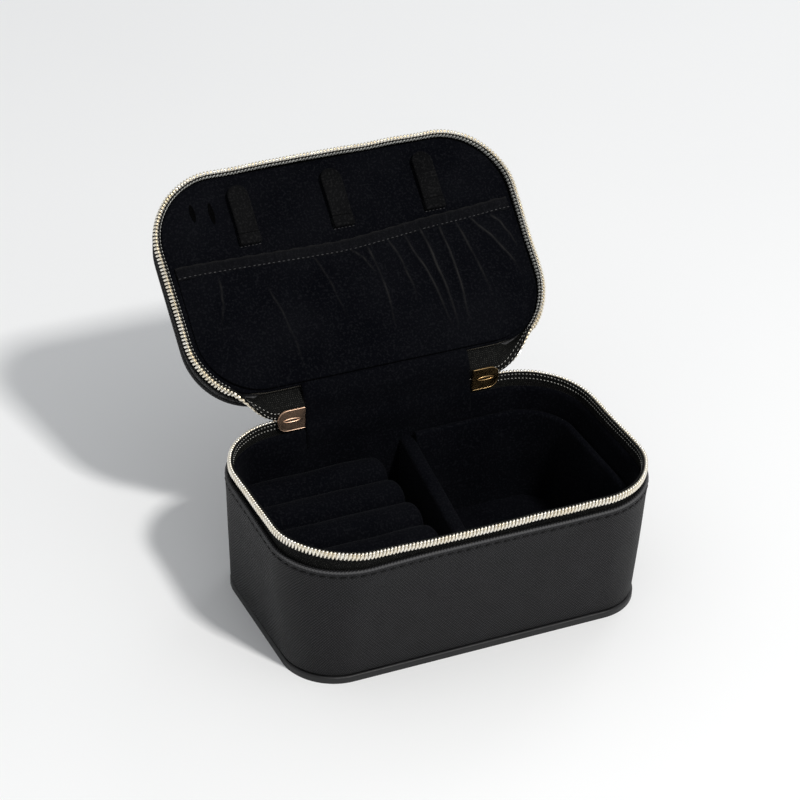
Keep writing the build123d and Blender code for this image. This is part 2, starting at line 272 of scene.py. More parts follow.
@dataclass
class Skin:
    """A net of places that becomes a mesh: rows along the piece, and places across each row."""

    name: str
    rows: np.ndarray
    wrap_rows: bool = False
    wrap_across: bool = True
    caps: bool = False
    sharp: float = 60.0
    fold: Sequence[float] | None = None

    def lengths(self) -> tuple[np.ndarray, np.ndarray]:
        """How far each row and each column is along the piece, in metres."""
        closed = np.concatenate([self.rows, self.rows[:1]]) if self.wrap_rows else self.rows
        along = np.linalg.norm(np.diff(closed, axis=0), axis=2).max(axis=1)
        middle = self.rows[len(self.rows) // 2]
        ring = np.concatenate([middle, middle[:1]]) if self.wrap_across else middle
        across = np.linalg.norm(np.diff(ring, axis=0), axis=1)
        return np.insert(np.cumsum(along), 0, 0) * MM, np.insert(np.cumsum(across), 0, 0) * MM

    def mesh(self) -> Piece:
        """Makes the closed or open mesh object.

        Returns:
            The object, at the origin, with a UV map in metres.
        """
        rows, cols = self.rows.shape[:2]
        along, across = self.lengths()
        shape = bmesh.new()
        layer = shape.loops.layers.uv.new("UVMap")
        # This layer carries each place's share of painted highlight along the folded edge.
        wear_and_highlight = shape.verts.layers.float.new("fold") if self.fold is not None else None
        verts = [shape.verts.new(Vector(p) * MM) for p in self.rows.reshape(-1, 3)]
        if self.fold is not None:
            for index, vert in enumerate(verts):
                vert[wear_and_highlight] = self.fold[index % cols]
        row_steps = rows if self.wrap_rows else rows - 1
        col_steps = cols if self.wrap_across else cols - 1
        for i in range(row_steps):
            for j in range(col_steps):
                corners = [(i, j), (i + 1, j), (i + 1, j + 1), (i, j + 1)]
                found = [verts[(a % rows) * cols + b % cols] for a, b in corners]
                face = shape.faces.new(found)
                face.smooth = True
                for loop, (a, b) in zip(face.loops, corners):
                    loop[layer].uv = (along[a], across[b])
        if self.caps:
            for row in (0, rows - 1):
                cap = shape.faces.new([verts[row * cols + j] for j in range(cols)])
                for loop in cap.loops:
                    loop[layer].uv = (loop.vert.co.x, loop.vert.co.y)
        bmesh.ops.remove_doubles(shape, verts=shape.verts, dist=2e-6)
        bmesh.ops.recalc_face_normals(shape, faces=shape.faces)
        data = bpy.data.meshes.new(self.name)
        shape.to_mesh(data)
        shape.free()
        data.set_sharp_from_angle(angle=math.radians(self.sharp))
        return placed(self.name, data)


def finish_modifiers(piece: Piece) -> Piece:
    """Turns a piece and its live modifiers into a plain mesh.

    Args:
        piece: The object with modifiers.

    Returns:
        The same object, with plain mesh data and no modifiers.
    """
    data = baked(piece)
    piece.modifiers.clear()
    piece.data = data
    return piece


def thickened(piece: Piece, thickness: float) -> Piece:
    """Gives an open sheet its thickness, evenly to both sides, in millimetres."""
    solid = piece.modifiers.new("thickness", "SOLIDIFY")
    solid.thickness = thickness * MM
    solid.offset = 0.0
    solid.use_even_offset = False
    return finish_modifiers(piece)


def flow(points: Sequence[tuple[float, float]], count: int) -> np.ndarray:
    """An even, smooth line through a few places.

    Args:
        points: The places the line goes through.
        count: How many places to return.

    Returns:
        The places along the line, as (count, 2).
    """
    given = np.array(points, float)
    padded = np.vstack([2 * given[0] - given[1], given, 2 * given[-1] - given[-2]])
    spans = []
    for i in range(1, len(padded) - 2):
        a, b, c, d = padded[i - 1 : i + 3]
        t = np.linspace(0, 1, 12, endpoint=False)[:, None]
        spans.append(
            0.5 * (2 * b + (c - a) * t + (2 * a - 5 * b + 4 * c - d) * t**2 + (3 * b - a - 3 * c + d) * t**3)
        )
    line = np.vstack(spans + [given[-1:]])
    run = np.insert(np.cumsum(np.linalg.norm(np.diff(line, axis=0), axis=1)), 0, 0)
    even = np.linspace(0, run[-1], count)
    return np.stack([np.interp(even, run, line[:, 0]), np.interp(even, run, line[:, 1])], axis=1)


def band_rows(rim: RimShape, runs: np.ndarray, section: Sequence[tuple[float, float]],
              sway: Warp | None = None) -> np.ndarray:
    """Carries a closed section round the rim.

    Args:
        rim: The outline to follow.
        runs: Where each row stands.
        section: (inset, height) places of the section.
        sway: Gives an inward and an upward shift for each row, as (n, 2).

    Returns:
        Rows for a Skin, as (runs, section, 3).
    """
    profile = np.array(section, float)
    shift = sway(runs) if sway else np.zeros((len(runs), 2))
    inset = profile[None, :, 0] + shift[:, None, 0]
    height = profile[None, :, 1] + shift[:, None, 1]
    return rim.place(runs[:, None] * np.ones_like(inset), inset, height)


def pad_rows(edge: np.ndarray, core: np.ndarray, section: Sequence[tuple[float, float]]) -> np.ndarray:
    """Rings of a cushion-like piece between an outline and its middle line.

    Args:
        edge: The outline, as (m, 2).
        core: The place in the middle that each outline place is drawn towards, as (m, 2).
        section: (millimetres in from the edge, height) places, from the back's middle round
            the edge to the front's middle. A distance past the middle means the middle.

    Returns:
        Rows for a Skin, as (section, m, 3).
    """
    gap = np.linalg.norm(core - edge, axis=1)
    rows = []
    for inward, height in section:
        share = np.minimum(inward / np.maximum(gap, 1e-6), 1.0)[:, None]
        flat = edge * (1 - share) + core * share
        rows.append(np.column_stack([flat, np.full(len(flat), height)]))
    return np.array(rows)


def spine(edge: np.ndarray, reach: float) -> np.ndarray:
    """The straight middle line that each place of a case-shaped outline is drawn towards."""
    return np.column_stack([np.clip(edge[:, 0], -reach, reach), np.zeros(len(edge))])


def rounded_side(low: float, high: float, rounding: float) -> list[tuple[float, float]]:
    """The side of a pad from its back face to its front face, with both edges rounded."""
    turn = math.copysign(rounding, high - low)
    steps = np.radians([0, 22, 45, 68, 90])
    back = [(rounding * (1 - math.sin(t)), low + turn * (1 - math.cos(t))) for t in steps]
    front = [(rounding * (1 - math.cos(t)), high - turn * (1 - math.sin(t))) for t in steps]
    return back + front


# ---------------------------------------------------------------- shader benches
@dataclass
class NodeBench:
    """Puts nodes into one tree and joins them."""

    tree: Tree

    def add(self, kind: str, settings: dict[str, object] | None = None, **inputs: object) -> Node:
        """Adds a node.

        Args:
            kind: The node's type name.
            settings: Node properties by name.
            **inputs: Values or sockets by input name, with _ for a space, or n0, n1 by number.

        Returns:
            The new node.
        """
        made = self.tree.nodes.new(kind)
        for key, value in (settings or {}).items():
            setattr(made, key, value)
        for key, value in inputs.items():
            socket = made.inputs[int(key[1:])] if key[1:].isdigit() and key[0] == "n" else None
            if socket is None:
                wanted = key.replace("_", " ").lower()
                socket = next(s for s in made.inputs if s.name.lower() == wanted and s.enabled)
            if isinstance(value, Socket):
                self.tree.links.new(value, socket)
            else:
                socket.default_value = value
        return made

    def join(self, socket: Socket, node: Node, name: str) -> None:
        """Links a socket to a node's named input."""
        self.tree.links.new(socket, node.inputs[name])

    def place(self) -> Socket:
        """Object coordinates, in metres."""
        return self.add("ShaderNodeTexCoord").outputs["Object"]

    def uv(self) -> Socket:
        """The piece's UV map, in metres."""
        return self.add("ShaderNodeUVMap").outputs[0]

    def fold(self) -> Socket:
        """The mesh's "fold" attribute, from 0 to 1: the share of painted highlight."""
        return self.add("ShaderNodeAttribute", {"attribute_name": "fold"}).outputs["Fac"]

    def sum(self, operation: str, first: object, second: object = 0.0) -> Socket:
        """The result of a Math node on two numbers or sockets."""
        return self.add("ShaderNodeMath", {"operation": operation}, n0=first, n1=second).outputs[0]

    def spread(self, value: Socket, low: float, high: float, out_low: float, out_high: float) -> Socket:
        """Maps a value from one range onto another, held at its ends."""
        made = self.add("ShaderNodeMapRange", None, n0=value, n1=low, n2=high, n3=out_low, n4=out_high)
        return made.outputs[0]

    def blend(self, share: object, first: object, second: object) -> Socket:
        """A colour between two colours."""
        made = self.add("ShaderNodeMix", {"data_type": "RGBA"}, n0=share, n6=first, n7=second)
        return made.outputs[2]


def noise_of(bench: NodeBench, vector: object, scale: object, detail: float = 2.0,
             roughness: float = 0.5) -> Socket:
    """The height of a Noise Texture at a place."""
    made = bench.add("ShaderNodeTexNoise", None, Vector=vector, Scale=scale, Detail=detail, Roughness=roughness)
    return made.outputs["Fac"]


def open_group(effect: Effect, numbers: dict[str, float],
               outputs: Sequence[str]) -> tuple[NodeBench, Node, Node]:
    """Starts a shader node group with a Vector input and named numbers.

    Args:
        effect: Which effect the group makes.
        numbers: Number inputs and their usual values.
        outputs: Names of the number outputs.

    Returns:
        The bench, the group's input node and its output node.
    """
    tree = bpy.data.node_groups.new(effect.value, "ShaderNodeTree")
    tree.interface.new_socket(name="Vector", in_out="INPUT", socket_type="NodeSocketVector")
    for name, value in numbers.items():
        socket = tree.interface.new_socket(name=name, in_out="INPUT", socket_type="NodeSocketFloat")
        socket.default_value = value
    for name in outputs:
        tree.interface.new_socket(name=name, in_out="OUTPUT", socket_type="NodeSocketFloat")
    bench = NodeBench(tree)
    return bench, bench.add("NodeGroupInput"), bench.add("NodeGroupOutput")


def crosshatch_group() -> Tree:
    """Fine pressed lines that cross at right angles, one direction fading in places."""
    bench, given, result = open_group(Effect.CROSSHATCH, {"Pitch": 0.0007}, ["Height", "Mask"])
    scale = bench.sum("DIVIDE", math.pi / 10, given.outputs["Pitch"])
    patch = noise_of(bench, given.outputs["Vector"], 95.0, 2.0)
    heights = []
    for turn, low, high, least in ((45.0, 0.3, 0.7, 0.5), (-45.0, 0.62, 0.38, 0.85)):
        turned = bench.add("ShaderNodeMapping", None, Vector=given.outputs["Vector"],
                           Rotation=(0.0, 0.0, math.radians(turn)))
        lines = bench.add("ShaderNodeTexWave", {"wave_type": "BANDS", "bands_direction": "X"},
                          Vector=turned.outputs[0], Scale=scale, Distortion=1.6, Detail=1.5, Detail_Scale=0.6)
        strength = bench.spread(patch, low, high, least, 1.0)
        groove = bench.sum("MULTIPLY", bench.sum("SUBTRACT", 1.0, lines.outputs["Fac"]), strength)
        heights.append(bench.sum("SUBTRACT", 1.0, groove))
    crossed = bench.sum("MULTIPLY", heights[0], heights[1])
    bench.join(crossed, result, "Height")
    bench.join(bench.spread(crossed, 0.1, 0.85, 0.0, 1.0), result, "Mask")
    return bench.tree


def mottle_group() -> Tree:
    """Slow cloudiness."""
    bench, given, result = open_group(Effect.MOTTLE, {"Size": 0.02}, ["Value"])
    scale = bench.sum("DIVIDE", 1.0, given.outputs["Size"])
    slow = noise_of(bench, given.outputs["Vector"], scale, 3.0, 0.55)
    bench.join(bench.spread(slow, 0.3, 0.7, 0.0, 1.0), result, "Value")
    return bench.tree


def fibre_group() -> Tree:
    """The nap of velvet or foam: short fibres in patches that lean different ways."""
    bench, given, result = open_group(Effect.FIBRE, {"Size": 0.0004}, ["Height", "Tone"])
    scale = bench.sum("DIVIDE", 1.0, given.outputs["Size"])
    fine = noise_of(bench, given.outputs["Vector"], scale, 2.0, 0.7)
    lean = noise_of(bench, given.outputs["Vector"], 42.0, 2.0, 0.5)
    fleck = bench.spread(noise_of(bench, given.outputs["Vector"], 1150.0, 1.0), 0.5, 0.72, 0.0, 1.0)
    tone = bench.sum("ADD", bench.spread(lean, 0.3, 0.7, 0.0, 0.4), bench.sum("MULTIPLY", fleck, 0.9))
    bench.join(fine, result, "Height")
    bench.join(tone, result, "Tone")
    return bench.tree


def weave_group() -> Tree:
    """Herringbone weave: slanting ribs that change direction every few threads."""
    bench, given, result = open_group(Effect.WEAVE, {"Pitch": 0.0006}, ["Height", "Tone"])
    parts = bench.add("ShaderNodeSeparateXYZ", None, Vector=given.outputs["Vector"])
    column = bench.sum("PINGPONG", parts.outputs["Y"], 0.0014)
    slant = bench.sum("ADD", parts.outputs["X"], column)
    turns = bench.sum("DIVIDE", slant, given.outputs["Pitch"])
    ribs = bench.sum("SINE", bench.sum("MULTIPLY", turns, 2 * math.pi))
    threads = bench.sum("SINE", bench.sum("MULTIPLY", parts.outputs["Y"], 2 * math.pi / 0.0007))
    woven = bench.sum("ADD", bench.sum("MULTIPLY", ribs, 0.5), bench.sum("MULTIPLY", threads, 0.25))
    grain = noise_of(bench, given.outputs["Vector"], 1900.0, 1.0)
    bench.join(bench.sum("ADD", woven, 0.5), result, "Height")
    lit = bench.sum("MULTIPLY", bench.spread(woven, 0.3, 0.75, 0.0, 1.0),
                    bench.spread(grain, 0.42, 0.62, 0.0, 1.0))
    bench.join(lit, result, "Tone")
    return bench.tree


@dataclass
class EffectStore:
    """Builds each shared effect once and hands it to any finish."""

    made: dict[Effect, Tree] = field(default_factory=dict)

    def get(self, effect: Effect) -> Tree:
        """The node group of an effect, built at its first use."""
        if effect not in self.made:
            makers = {
                Effect.CROSSHATCH: crosshatch_group,
                Effect.MOTTLE: mottle_group,
                Effect.FIBRE: fibre_group,
                Effect.WEAVE: weave_group,
            }
            self.made[effect] = makers[effect]()
        return self.made[effect]


EFFECTS = EffectStore()


# ---------------------------------------------------------------- finishes
@dataclass(frozen=True)
class Finish:
    """What every finish shares. A finish makes one material."""

    label: str

    def start(self, **constants: object) -> tuple[NodeBench, Node, Material]:
        """Starts the material.

        Args:
            **constants: Values of the shader's own sockets, with _ for a space.

        Returns:
            The bench, the Principled shader and the material.
        """
        material = bpy.data.materials.new(self.label)
        material.use_nodes = True
        bench = NodeBench(material.node_tree)
        shader = material.node_tree.nodes["Principled BSDF"]
        for name, value in constants.items():
            shader.inputs[name.replace("_", " ")].default_value = value
        return bench, shader, material

    def effect(self, bench: NodeBench, effect: Effect, vector: object, **numbers: float) -> Node:
        """Places a shared effect with its own numbers."""
        made = bench.add("ShaderNodeGroup", {"node_tree": EFFECTS.get(effect)})
        bench.join(vector, made, "Vector")
        for name, value in numbers.items():
            made.inputs[name].default_value = value
        return made

    def coat(self, bench: NodeBench, shader: Node, tone: Socket, colours: tuple[Colour, Colour],
             rough: tuple[float, float]) -> None:
        """Sets the colour and the roughness from one tone.

        Args:
            bench: The material's bench.
            shader: Its shader.
            tone: A value from 0 to 1.
            colours: The colours at 0 and at 1.
            rough: The roughness at 0 and at 1.
        """
        bench.join(bench.blend(tone, *colours), shader, "Base Color")
        bench.join(bench.spread(tone, 0, 1, *rough), shader, "Roughness")

    def relief(self, bench: NodeBench, shader: Node, height: object, depth: float) -> None:
        """Raises the surface by a height, given the depth in metres."""
        bump = bench.add("ShaderNodeBump", None, Strength=1.0, Distance=depth, Height=height)
        bench.join(bump.outputs[0], shader, "Normal")


@dataclass(frozen=True)
class CrosshatchLeather(Finish):
    """Black leather with a fine pressed crosshatch, with a painted highlight where the mesh's "fold" attribute
    says.
    """

    dark: Colour = (0.0002, 0.0002, 0.0003, 1)
    light: Colour = (0.0172, 0.0171, 0.021, 1)
    # The colour of the painted highlight along the folded top edge.
    wear_and_highlight: Colour = (0.085, 0.085, 0.088, 1)
    pitch: float = 0.00102
    depth: float = 0.00032

    def material(self) -> Material:
        """Makes the material from the piece's UV map."""
        bench, shader, material = self.start(Specular_IOR_Level=0.28)
        uv = bench.uv()
        grain = self.effect(bench, Effect.CROSSHATCH, uv, Pitch=self.pitch)
        cloud = self.effect(bench, Effect.MOTTLE, uv, Size=0.03)
        tone = bench.sum("MULTIPLY", grain.outputs["Mask"],
                         bench.spread(cloud.outputs["Value"], 0, 1, 0.65, 1.0))
        fold = bench.fold()
        grained = bench.blend(tone, self.dark, self.light)
        # Blends in the painted highlight where the fold attribute is set.
        bench.join(bench.blend(fold, grained, self.wear_and_highlight), shader, "Base Color")
        rough = bench.spread(grain.outputs["Height"], 0, 1, 0.7, 0.5)
        bench.join(rough, shader, "Roughness")
        self.relief(bench, shader, grain.outputs["Height"], self.depth)
        return material


@dataclass(frozen=True)
class SmoothLeather(Finish):
    """Black leather with only its pores showing."""

    dark: Colour = (0.004, 0.004, 0.0046, 1)
    light: Colour = (0.009, 0.009, 0.0098, 1)

    def material(self) -> Material:
        """Makes the material from object coordinates."""
        bench, shader, material = self.start(Specular_IOR_Level=0.4)
        place = bench.place()
        cloud = self.effect(bench, Effect.MOTTLE, place, Size=0.012)
        pores = bench.add("ShaderNodeTexVoronoi", {"feature": "DISTANCE_TO_EDGE"}, Vector=place, Scale=1500.0)
        self.coat(bench, shader, cloud.outputs["Value"], (self.dark, self.light), (0.42, 0.56))
        self.relief(bench, shader, bench.spread(pores.outputs[0], 0.0, 0.25, 0.0, 1.0), 0.00003)
        return material


@dataclass(frozen=True)
class Velvet(Finish):
    """Black velvet whose nap leans in patches."""

    dark: Colour = (0.0011, 0.0013, 0.0024, 1)
    light: Colour = (0.0047, 0.005, 0.0066, 1)

    def material(self) -> Material:
        """Makes the material from object coordinates."""
        bench, shader, material = self.start(
            Specular_IOR_Level=0.03, Sheen_Weight=0.02, Sheen_Roughness=0.35, Sheen_Tint=(0.8, 0.82, 0.9, 1)
        )
        place = bench.place()
        nap = self.effect(bench, Effect.FIBRE, place, Size=0.0005)
        self.coat(bench, shader, nap.outputs["Tone"], (self.dark, self.light), (0.95, 0.8))
        self.relief(bench, shader, nap.outputs["Height"], 0.00018)
        return material


@dataclass(frozen=True)
class CreasedVelvet(Velvet):
    """Velvet that catches the light along its folds, by the mesh's "fold" attribute."""

    lit: Colour = (0.02, 0.0195, 0.019, 1)

    def material(self) -> Material:
        """Makes the velvet and lightens its folds."""
        material = super().material()
        bench = NodeBench(material.node_tree)
        shader = material.node_tree.nodes["Principled BSDF"]
        plain = shader.inputs["Base Color"].links[0].from_socket
        fold = bench.fold()
        bench.join(bench.blend(fold, plain, self.lit), shader, "Base Color")
        return material


@dataclass(frozen=True)
class WovenTape(Finish):
    """Black herringbone zip tape."""

    dark: Colour = (0.0012, 0.0013, 0.0012, 1)
    light: Colour = (0.055, 0.055, 0.05, 1)

    def material(self) -> Material:
        """Makes the material from the piece's UV map."""
        bench, shader, material = self.start(Specular_IOR_Level=0.15)
        uv = bench.uv()
        weave = self.effect(bench, Effect.WEAVE, uv, Pitch=0.0009)
        self.coat(bench, shader, weave.outputs["Tone"], (self.dark, self.light), (0.85, 0.7))
        self.relief(bench, shader, weave.outputs["Height"], 0.00012)
        return material


@dataclass(frozen=True)
class Metal(Finish):
    """A metal or metallised surface with slight handling marks."""

    bright: Colour
    wear_and_highlight: Colour
    shine: tuple[float, float] = (0.24, 0.4)
    scratch: float = 0.000003

    def material(self) -> Material:
        """Makes the material from object coordinates."""
        bench, shader, material = self.start(Specular_IOR_Level=0.5)
        place = bench.place()
        cloud = self.effect(bench, Effect.MOTTLE, place, Size=0.006)
        fine = noise_of(bench, place, 2600.0, 2.0)
        self.coat(bench, shader, cloud.outputs["Value"], (self.bright, self.wear_and_highlight), self.shine)
        bench.join(bench.spread(cloud.outputs["Value"], 0, 1, 1.0, 0.96), shader, "Metallic")
        self.relief(bench, shader, fine, self.scratch)
        return material


@dataclass(frozen=True)
class Fibre(Finish):
    """Thread, board or foam: a matt surface of fine fibres."""

    dark: Colour
    light: Colour
    grain: float = 0.0003
    depth: float = 0.00005

    def material(self) -> Material:
        """Makes the material from object coordinates."""
        bench, shader, material = self.start(Specular_IOR_Level=0.2)
        place = bench.place()
        nap = self.effect(bench, Effect.FIBRE, place, Size=self.grain)
        self.coat(bench, shader, nap.outputs["Tone"], (self.dark, self.light), (0.75, 0.6))
        self.relief(bench, shader, nap.outputs["Height"], self.depth)
        return material


def kept(kind: type[Finish], *values: object) -> Material:
    """A field that holds the material of one finish, made with its rack."""
    return field(default_factory=lambda: kind(*values).material())


@dataclass
class FinishRack:
    """Every finish of the case, each made once."""

    leather: Material = kept(CrosshatchLeather, "crosshatch_leather")
    smooth: Material = kept(SmoothLeather, "smooth_leather")
    velvet: Material = kept(Velvet, "velvet")
    strap_velvet: Material = kept(
        Velvet, "strap_velvet", (0.002, 0.0021, 0.0025, 1), (0.0085, 0.0085, 0.0088, 1))
    # Near-black velvet: painted shade inside the earring slits.
    shade_velvet: Material = kept(
        Velvet, "shade_velvet", (0.0002, 0.0002, 0.0003, 1), (0.0008, 0.0008, 0.001, 1))
    creased_velvet: Material = kept(CreasedVelvet, "creased_velvet")
    tape: Material = kept(WovenTape, "zip_tape")
    coil: Material = kept(Metal, "zip_coil", (0.96, 0.93, 0.86, 1), (0.88, 0.8, 0.64, 1), (0.28, 0.38))
    gold_left: Material = kept(Metal, "rose_gold", (0.95, 0.68, 0.5, 1), (0.86, 0.56, 0.38, 1), (0.34, 0.44))
    # The right slider is the same metal as the left; this darker copy is painted shade for the dark
    # surroundings it reflects.
    gold_right: Material = kept(Metal, "shaded_gold", (0.62, 0.42, 0.2, 1), (0.4, 0.26, 0.11, 1), (0.22, 0.32))
    snap: Material = kept(Metal, "snap_metal", (0.12, 0.12, 0.13, 1), (0.07, 0.07, 0.075, 1))
    thread: Material = kept(Fibre, "black_thread", (0.0004, 0.0004, 0.0005, 1), (0.003, 0.003, 0.0033, 1))
    tape_thread: Material = kept(Fibre, "tape_thread", (0.3, 0.3, 0.28, 1), (0.66, 0.65, 0.6, 1))
    rib_thread: Material = kept(Fibre, "rib_thread", (0.34, 0.34, 0.32, 1), (0.62, 0.62, 0.58, 1))
    hem_thread: Material = kept(Fibre, "hem_thread", (0.02, 0.02, 0.022, 1), (0.06, 0.06, 0.062, 1))
    board: Material = kept(Fibre, "grey_board", (0.16, 0.145, 0.12, 1), (0.26, 0.24, 0.2, 1), 0.0006)
    foam: Material = kept(Fibre, "dark_foam", (0.03, 0.03, 0.032, 1), (0.07, 0.07, 0.073, 1), 0.0008, 0.0002)


# ---------------------------------------------------------------- geometry-node makers
class TreeInput:
    """Names of the node trees' inputs."""

    PITCH = "Pitch"
    LENGTH = "Length"
    WIDTH = "Width"
    DEPTH = "Depth"
    WIRE = "Wire"
    SLANT = "Slant"
    UNEVEN = "Unevenness"
    SEED = "Seed"
    FINISH = "Finish"


def path_object(name: str, path: np.ndarray, closed: bool) -> Piece:
    """A curve object along a path given in millimetres."""
    curve = bpy.data.curves.new(f"{name}_path", "CURVE")
    curve.dimensions = "3D"
    line = curve.splines.new("POLY")
    line.points.add(len(path) - 1)
    for point, place in zip(line.points, path):
        point.co = (*(Vector(place) * MM), 1.0)
    line.use_cyclic_u = closed
    return placed(f"{name}_holder", curve)


@dataclass
class RowMaker:
    """Sets shapes at an even pitch along a path with a geometry-node tree."""

    label: str
    numbers: dict[str, float]
    tree: Tree = field(init=False)
    keys: dict[str, str] = field(init=False, default_factory=dict)

    def __post_init__(self) -> None:
        """Builds the tree: points along the path, shapes set on them, made real, given a finish."""
        self.tree = bpy.data.node_groups.new(self.label, "GeometryNodeTree")
        face = self.tree.interface
        face.new_socket(name="Path", in_out="INPUT", socket_type="NodeSocketGeometry")
        for name, value in self.numbers.items():
            kind = "NodeSocketInt" if name == TreeInput.SEED else "NodeSocketFloat"
            socket = face.new_socket(name=name, in_out="INPUT", socket_type=kind)
            socket.default_value = int(value) if name == TreeInput.SEED else value
            self.keys[name] = socket.identifier
        socket = face.new_socket(name=TreeInput.FINISH, in_out="INPUT", socket_type="NodeSocketMaterial")
        self.keys[TreeInput.FINISH] = socket.identifier
        face.new_socket(name="Pieces", in_out="OUTPUT", socket_type="NodeSocketGeometry")
        bench = NodeBench(self.tree)
        given = bench.add("NodeGroupInput")
        result = bench.add("NodeGroupOutput")
        points = bench.add("GeometryNodeCurveToPoints", {"mode": "LENGTH"},
                           Curve=given.outputs["Path"], Length=given.outputs[TreeInput.PITCH])
        tangent = points.outputs["Tangent"]
        outward = bench.add("ShaderNodeVectorMath", {"operation": "CROSS_PRODUCT"},
                            n0=(0.0, 0.0, 1.0), n1=tangent)
        along = bench.add("FunctionNodeAlignRotationToVector", {"axis": "X"}, Vector=tangent)
        facing = bench.add("FunctionNodeAlignRotationToVector", {"axis": "Y", "pivot_axis": "X"},
                           Rotation=along.outputs[0], Vector=outward.outputs[0])
        shape, rotation = self.shape(bench, given, facing.outputs[0])
        copies = bench.add("GeometryNodeInstanceOnPoints", None, Points=points.outputs["Points"],
                           Instance=shape, Rotation=rotation)
        real = bench.add("GeometryNodeRealizeInstances", None, Geometry=copies.outputs[0])
        dressed = bench.add("GeometryNodeSetMaterial", None, Geometry=real.outputs[0],
                            Material=given.outputs[TreeInput.FINISH])
        bench.tree.links.new(dressed.outputs[0], result.inputs[0])

    def shape(self, bench: NodeBench, given: Node, facing: Socket) -> tuple[Socket, Socket]:
        """The shape set at each point and how it is turned. Each kind of row has its own."""
        raise NotImplementedError

    def run(self, name: str, path: np.ndarray, finish: Material, closed: bool = False,
            **numbers: float) -> Piece:
        """Makes one row as a plain mesh.

        Args:
            name: The piece's name.
            path: Places along the path in millimetres, with the shapes' outside to its left.
            finish: The material.
            closed: Whether the path joins its own start.
            **numbers: Sizes by input name, in metres or radians.

        Returns:
            The mesh object.
        """
        holder = path_object(name, path, closed)
        modifier = holder.modifiers.new(self.label, "NODES")
        modifier.node_group = self.tree
        for key, value in {**self.numbers, **numbers}.items():
            modifier[self.keys[key]] = int(value) if key == TreeInput.SEED else float(value)
        modifier[self.keys[TreeInput.FINISH]] = finish
        data = baked(holder)
        data.name = name
        bpy.data.objects.remove(holder)
        for face in data.polygons:
            face.use_smooth = True
        return placed(name, data)


@dataclass
class CoilMaker(RowMaker):
    """A zip coil: a flattened wire spiral, one turn to each tooth."""

    label: str = "zip_coil_turns"
    numbers: dict[str, float] = field(default_factory=lambda: {
        TreeInput.PITCH: 0.0015, TreeInput.LENGTH: 0.0036, TreeInput.DEPTH: 0.0018, TreeInput.WIRE: 0.00053})

    def shape(self, bench: NodeBench, given: Node, facing: Socket) -> tuple[Socket, Socket]:
        """One turn of the spiral, drawn about the path's direction."""
        wire, pitch = given.outputs[TreeInput.WIRE], given.outputs[TreeInput.PITCH]
        turn = bench.add("GeometryNodeCurveSpiral", None, Resolution=10, Rotations=1.0,
                         Start_Radius=1.0, End_Radius=1.0, Height=pitch)
        lying = bench.add("GeometryNodeTransform", None, Geometry=turn.outputs[0],
                          Rotation=(0.0, math.pi / 2, 0.0))
        deep = bench.sum("SUBTRACT", bench.sum("MULTIPLY", given.outputs[TreeInput.DEPTH], 0.5), wire)
        tall = bench.sum("SUBTRACT", bench.sum("MULTIPLY", given.outputs[TreeInput.LENGTH], 0.5), wire)
        size = bench.add("ShaderNodeCombineXYZ", None, X=1.0, Y=deep, Z=tall)
        flat = bench.add("GeometryNodeTransform", None, Geometry=lying.outputs[0], Scale=size.outputs[0])
        ring = bench.add("GeometryNodeCurvePrimitiveCircle", None, Resolution=5, Radius=wire)
        tube = bench.add("GeometryNodeCurveToMesh", None, Curve=flat.outputs[0], Profile_Curve=ring.outputs[0],
                         Fill_Caps=True)
        return tube.outputs[0], facing


@dataclass
class StitchMaker(RowMaker):
    """A row of stitches: short rounded lengths of thread."""

    label: str = "stitch_row"
    numbers: dict[str, float] = field(default_factory=lambda: {
        TreeInput.PITCH: 0.003, TreeInput.LENGTH: 0.0022, TreeInput.WIDTH: 0.0005, TreeInput.DEPTH: 0.0004,
        TreeInput.SLANT: 0.0, TreeInput.UNEVEN: 0.04, TreeInput.SEED: 3})

    def shape(self, bench: NodeBench, given: Node, facing: Socket) -> tuple[Socket, Socket]:
        """One stitch, leaning by the slant and a little unevenly."""
        ball = bench.add("GeometryNodeMeshIcoSphere", None, Radius=0.5, Subdivisions=2)
        size = bench.add("ShaderNodeCombineXYZ", None, X=given.outputs[TreeInput.LENGTH],
                         Y=given.outputs[TreeInput.DEPTH], Z=given.outputs[TreeInput.WIDTH])
        stitch = bench.add("GeometryNodeTransform", None, Geometry=ball.outputs[0], Scale=size.outputs[0])
        uneven = given.outputs[TreeInput.UNEVEN]
        random = bench.add("FunctionNodeRandomValue", {"data_type": "FLOAT"},
                           n2=bench.sum("MULTIPLY", uneven, -1.0), n3=uneven,
                           Seed=given.outputs[TreeInput.SEED])
        angle = bench.sum("ADD", given.outputs[TreeInput.SLANT], random.outputs["Value"])
        lean = bench.add("FunctionNodeAxisAngleToRotation", None, Axis=(0.0, 1.0, 0.0), Angle=angle)
        turned = bench.add("FunctionNodeRotateRotation", {"rotation_space": "LOCAL"},
                           Rotation=facing, Rotate_By=lean.outputs[0])
        return stitch.outputs[0], turned.outputs[0]


# ---------------------------------------------------------------- fitting pieces
def dress(piece: Piece, finish: Material, body: str, slot: Slot, *stands_for: str) -> Piece:
    """Gives a piece its finish and the body it rides on, and hides the CAD nodes it is shown in place of.

    Args:
        piece: A finished mesh, in place.
        finish: Its material.
        body: The body's name.
        slot: The record's material slot; not used.
        *stands_for: CAD nodes it is shown in place of.

    Returns:
        The same piece.
    """
    piece.data.materials.clear()
    piece.data.materials.append(finish)
    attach(piece, body)
    if stands_for:
        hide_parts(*stands_for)
    return piece


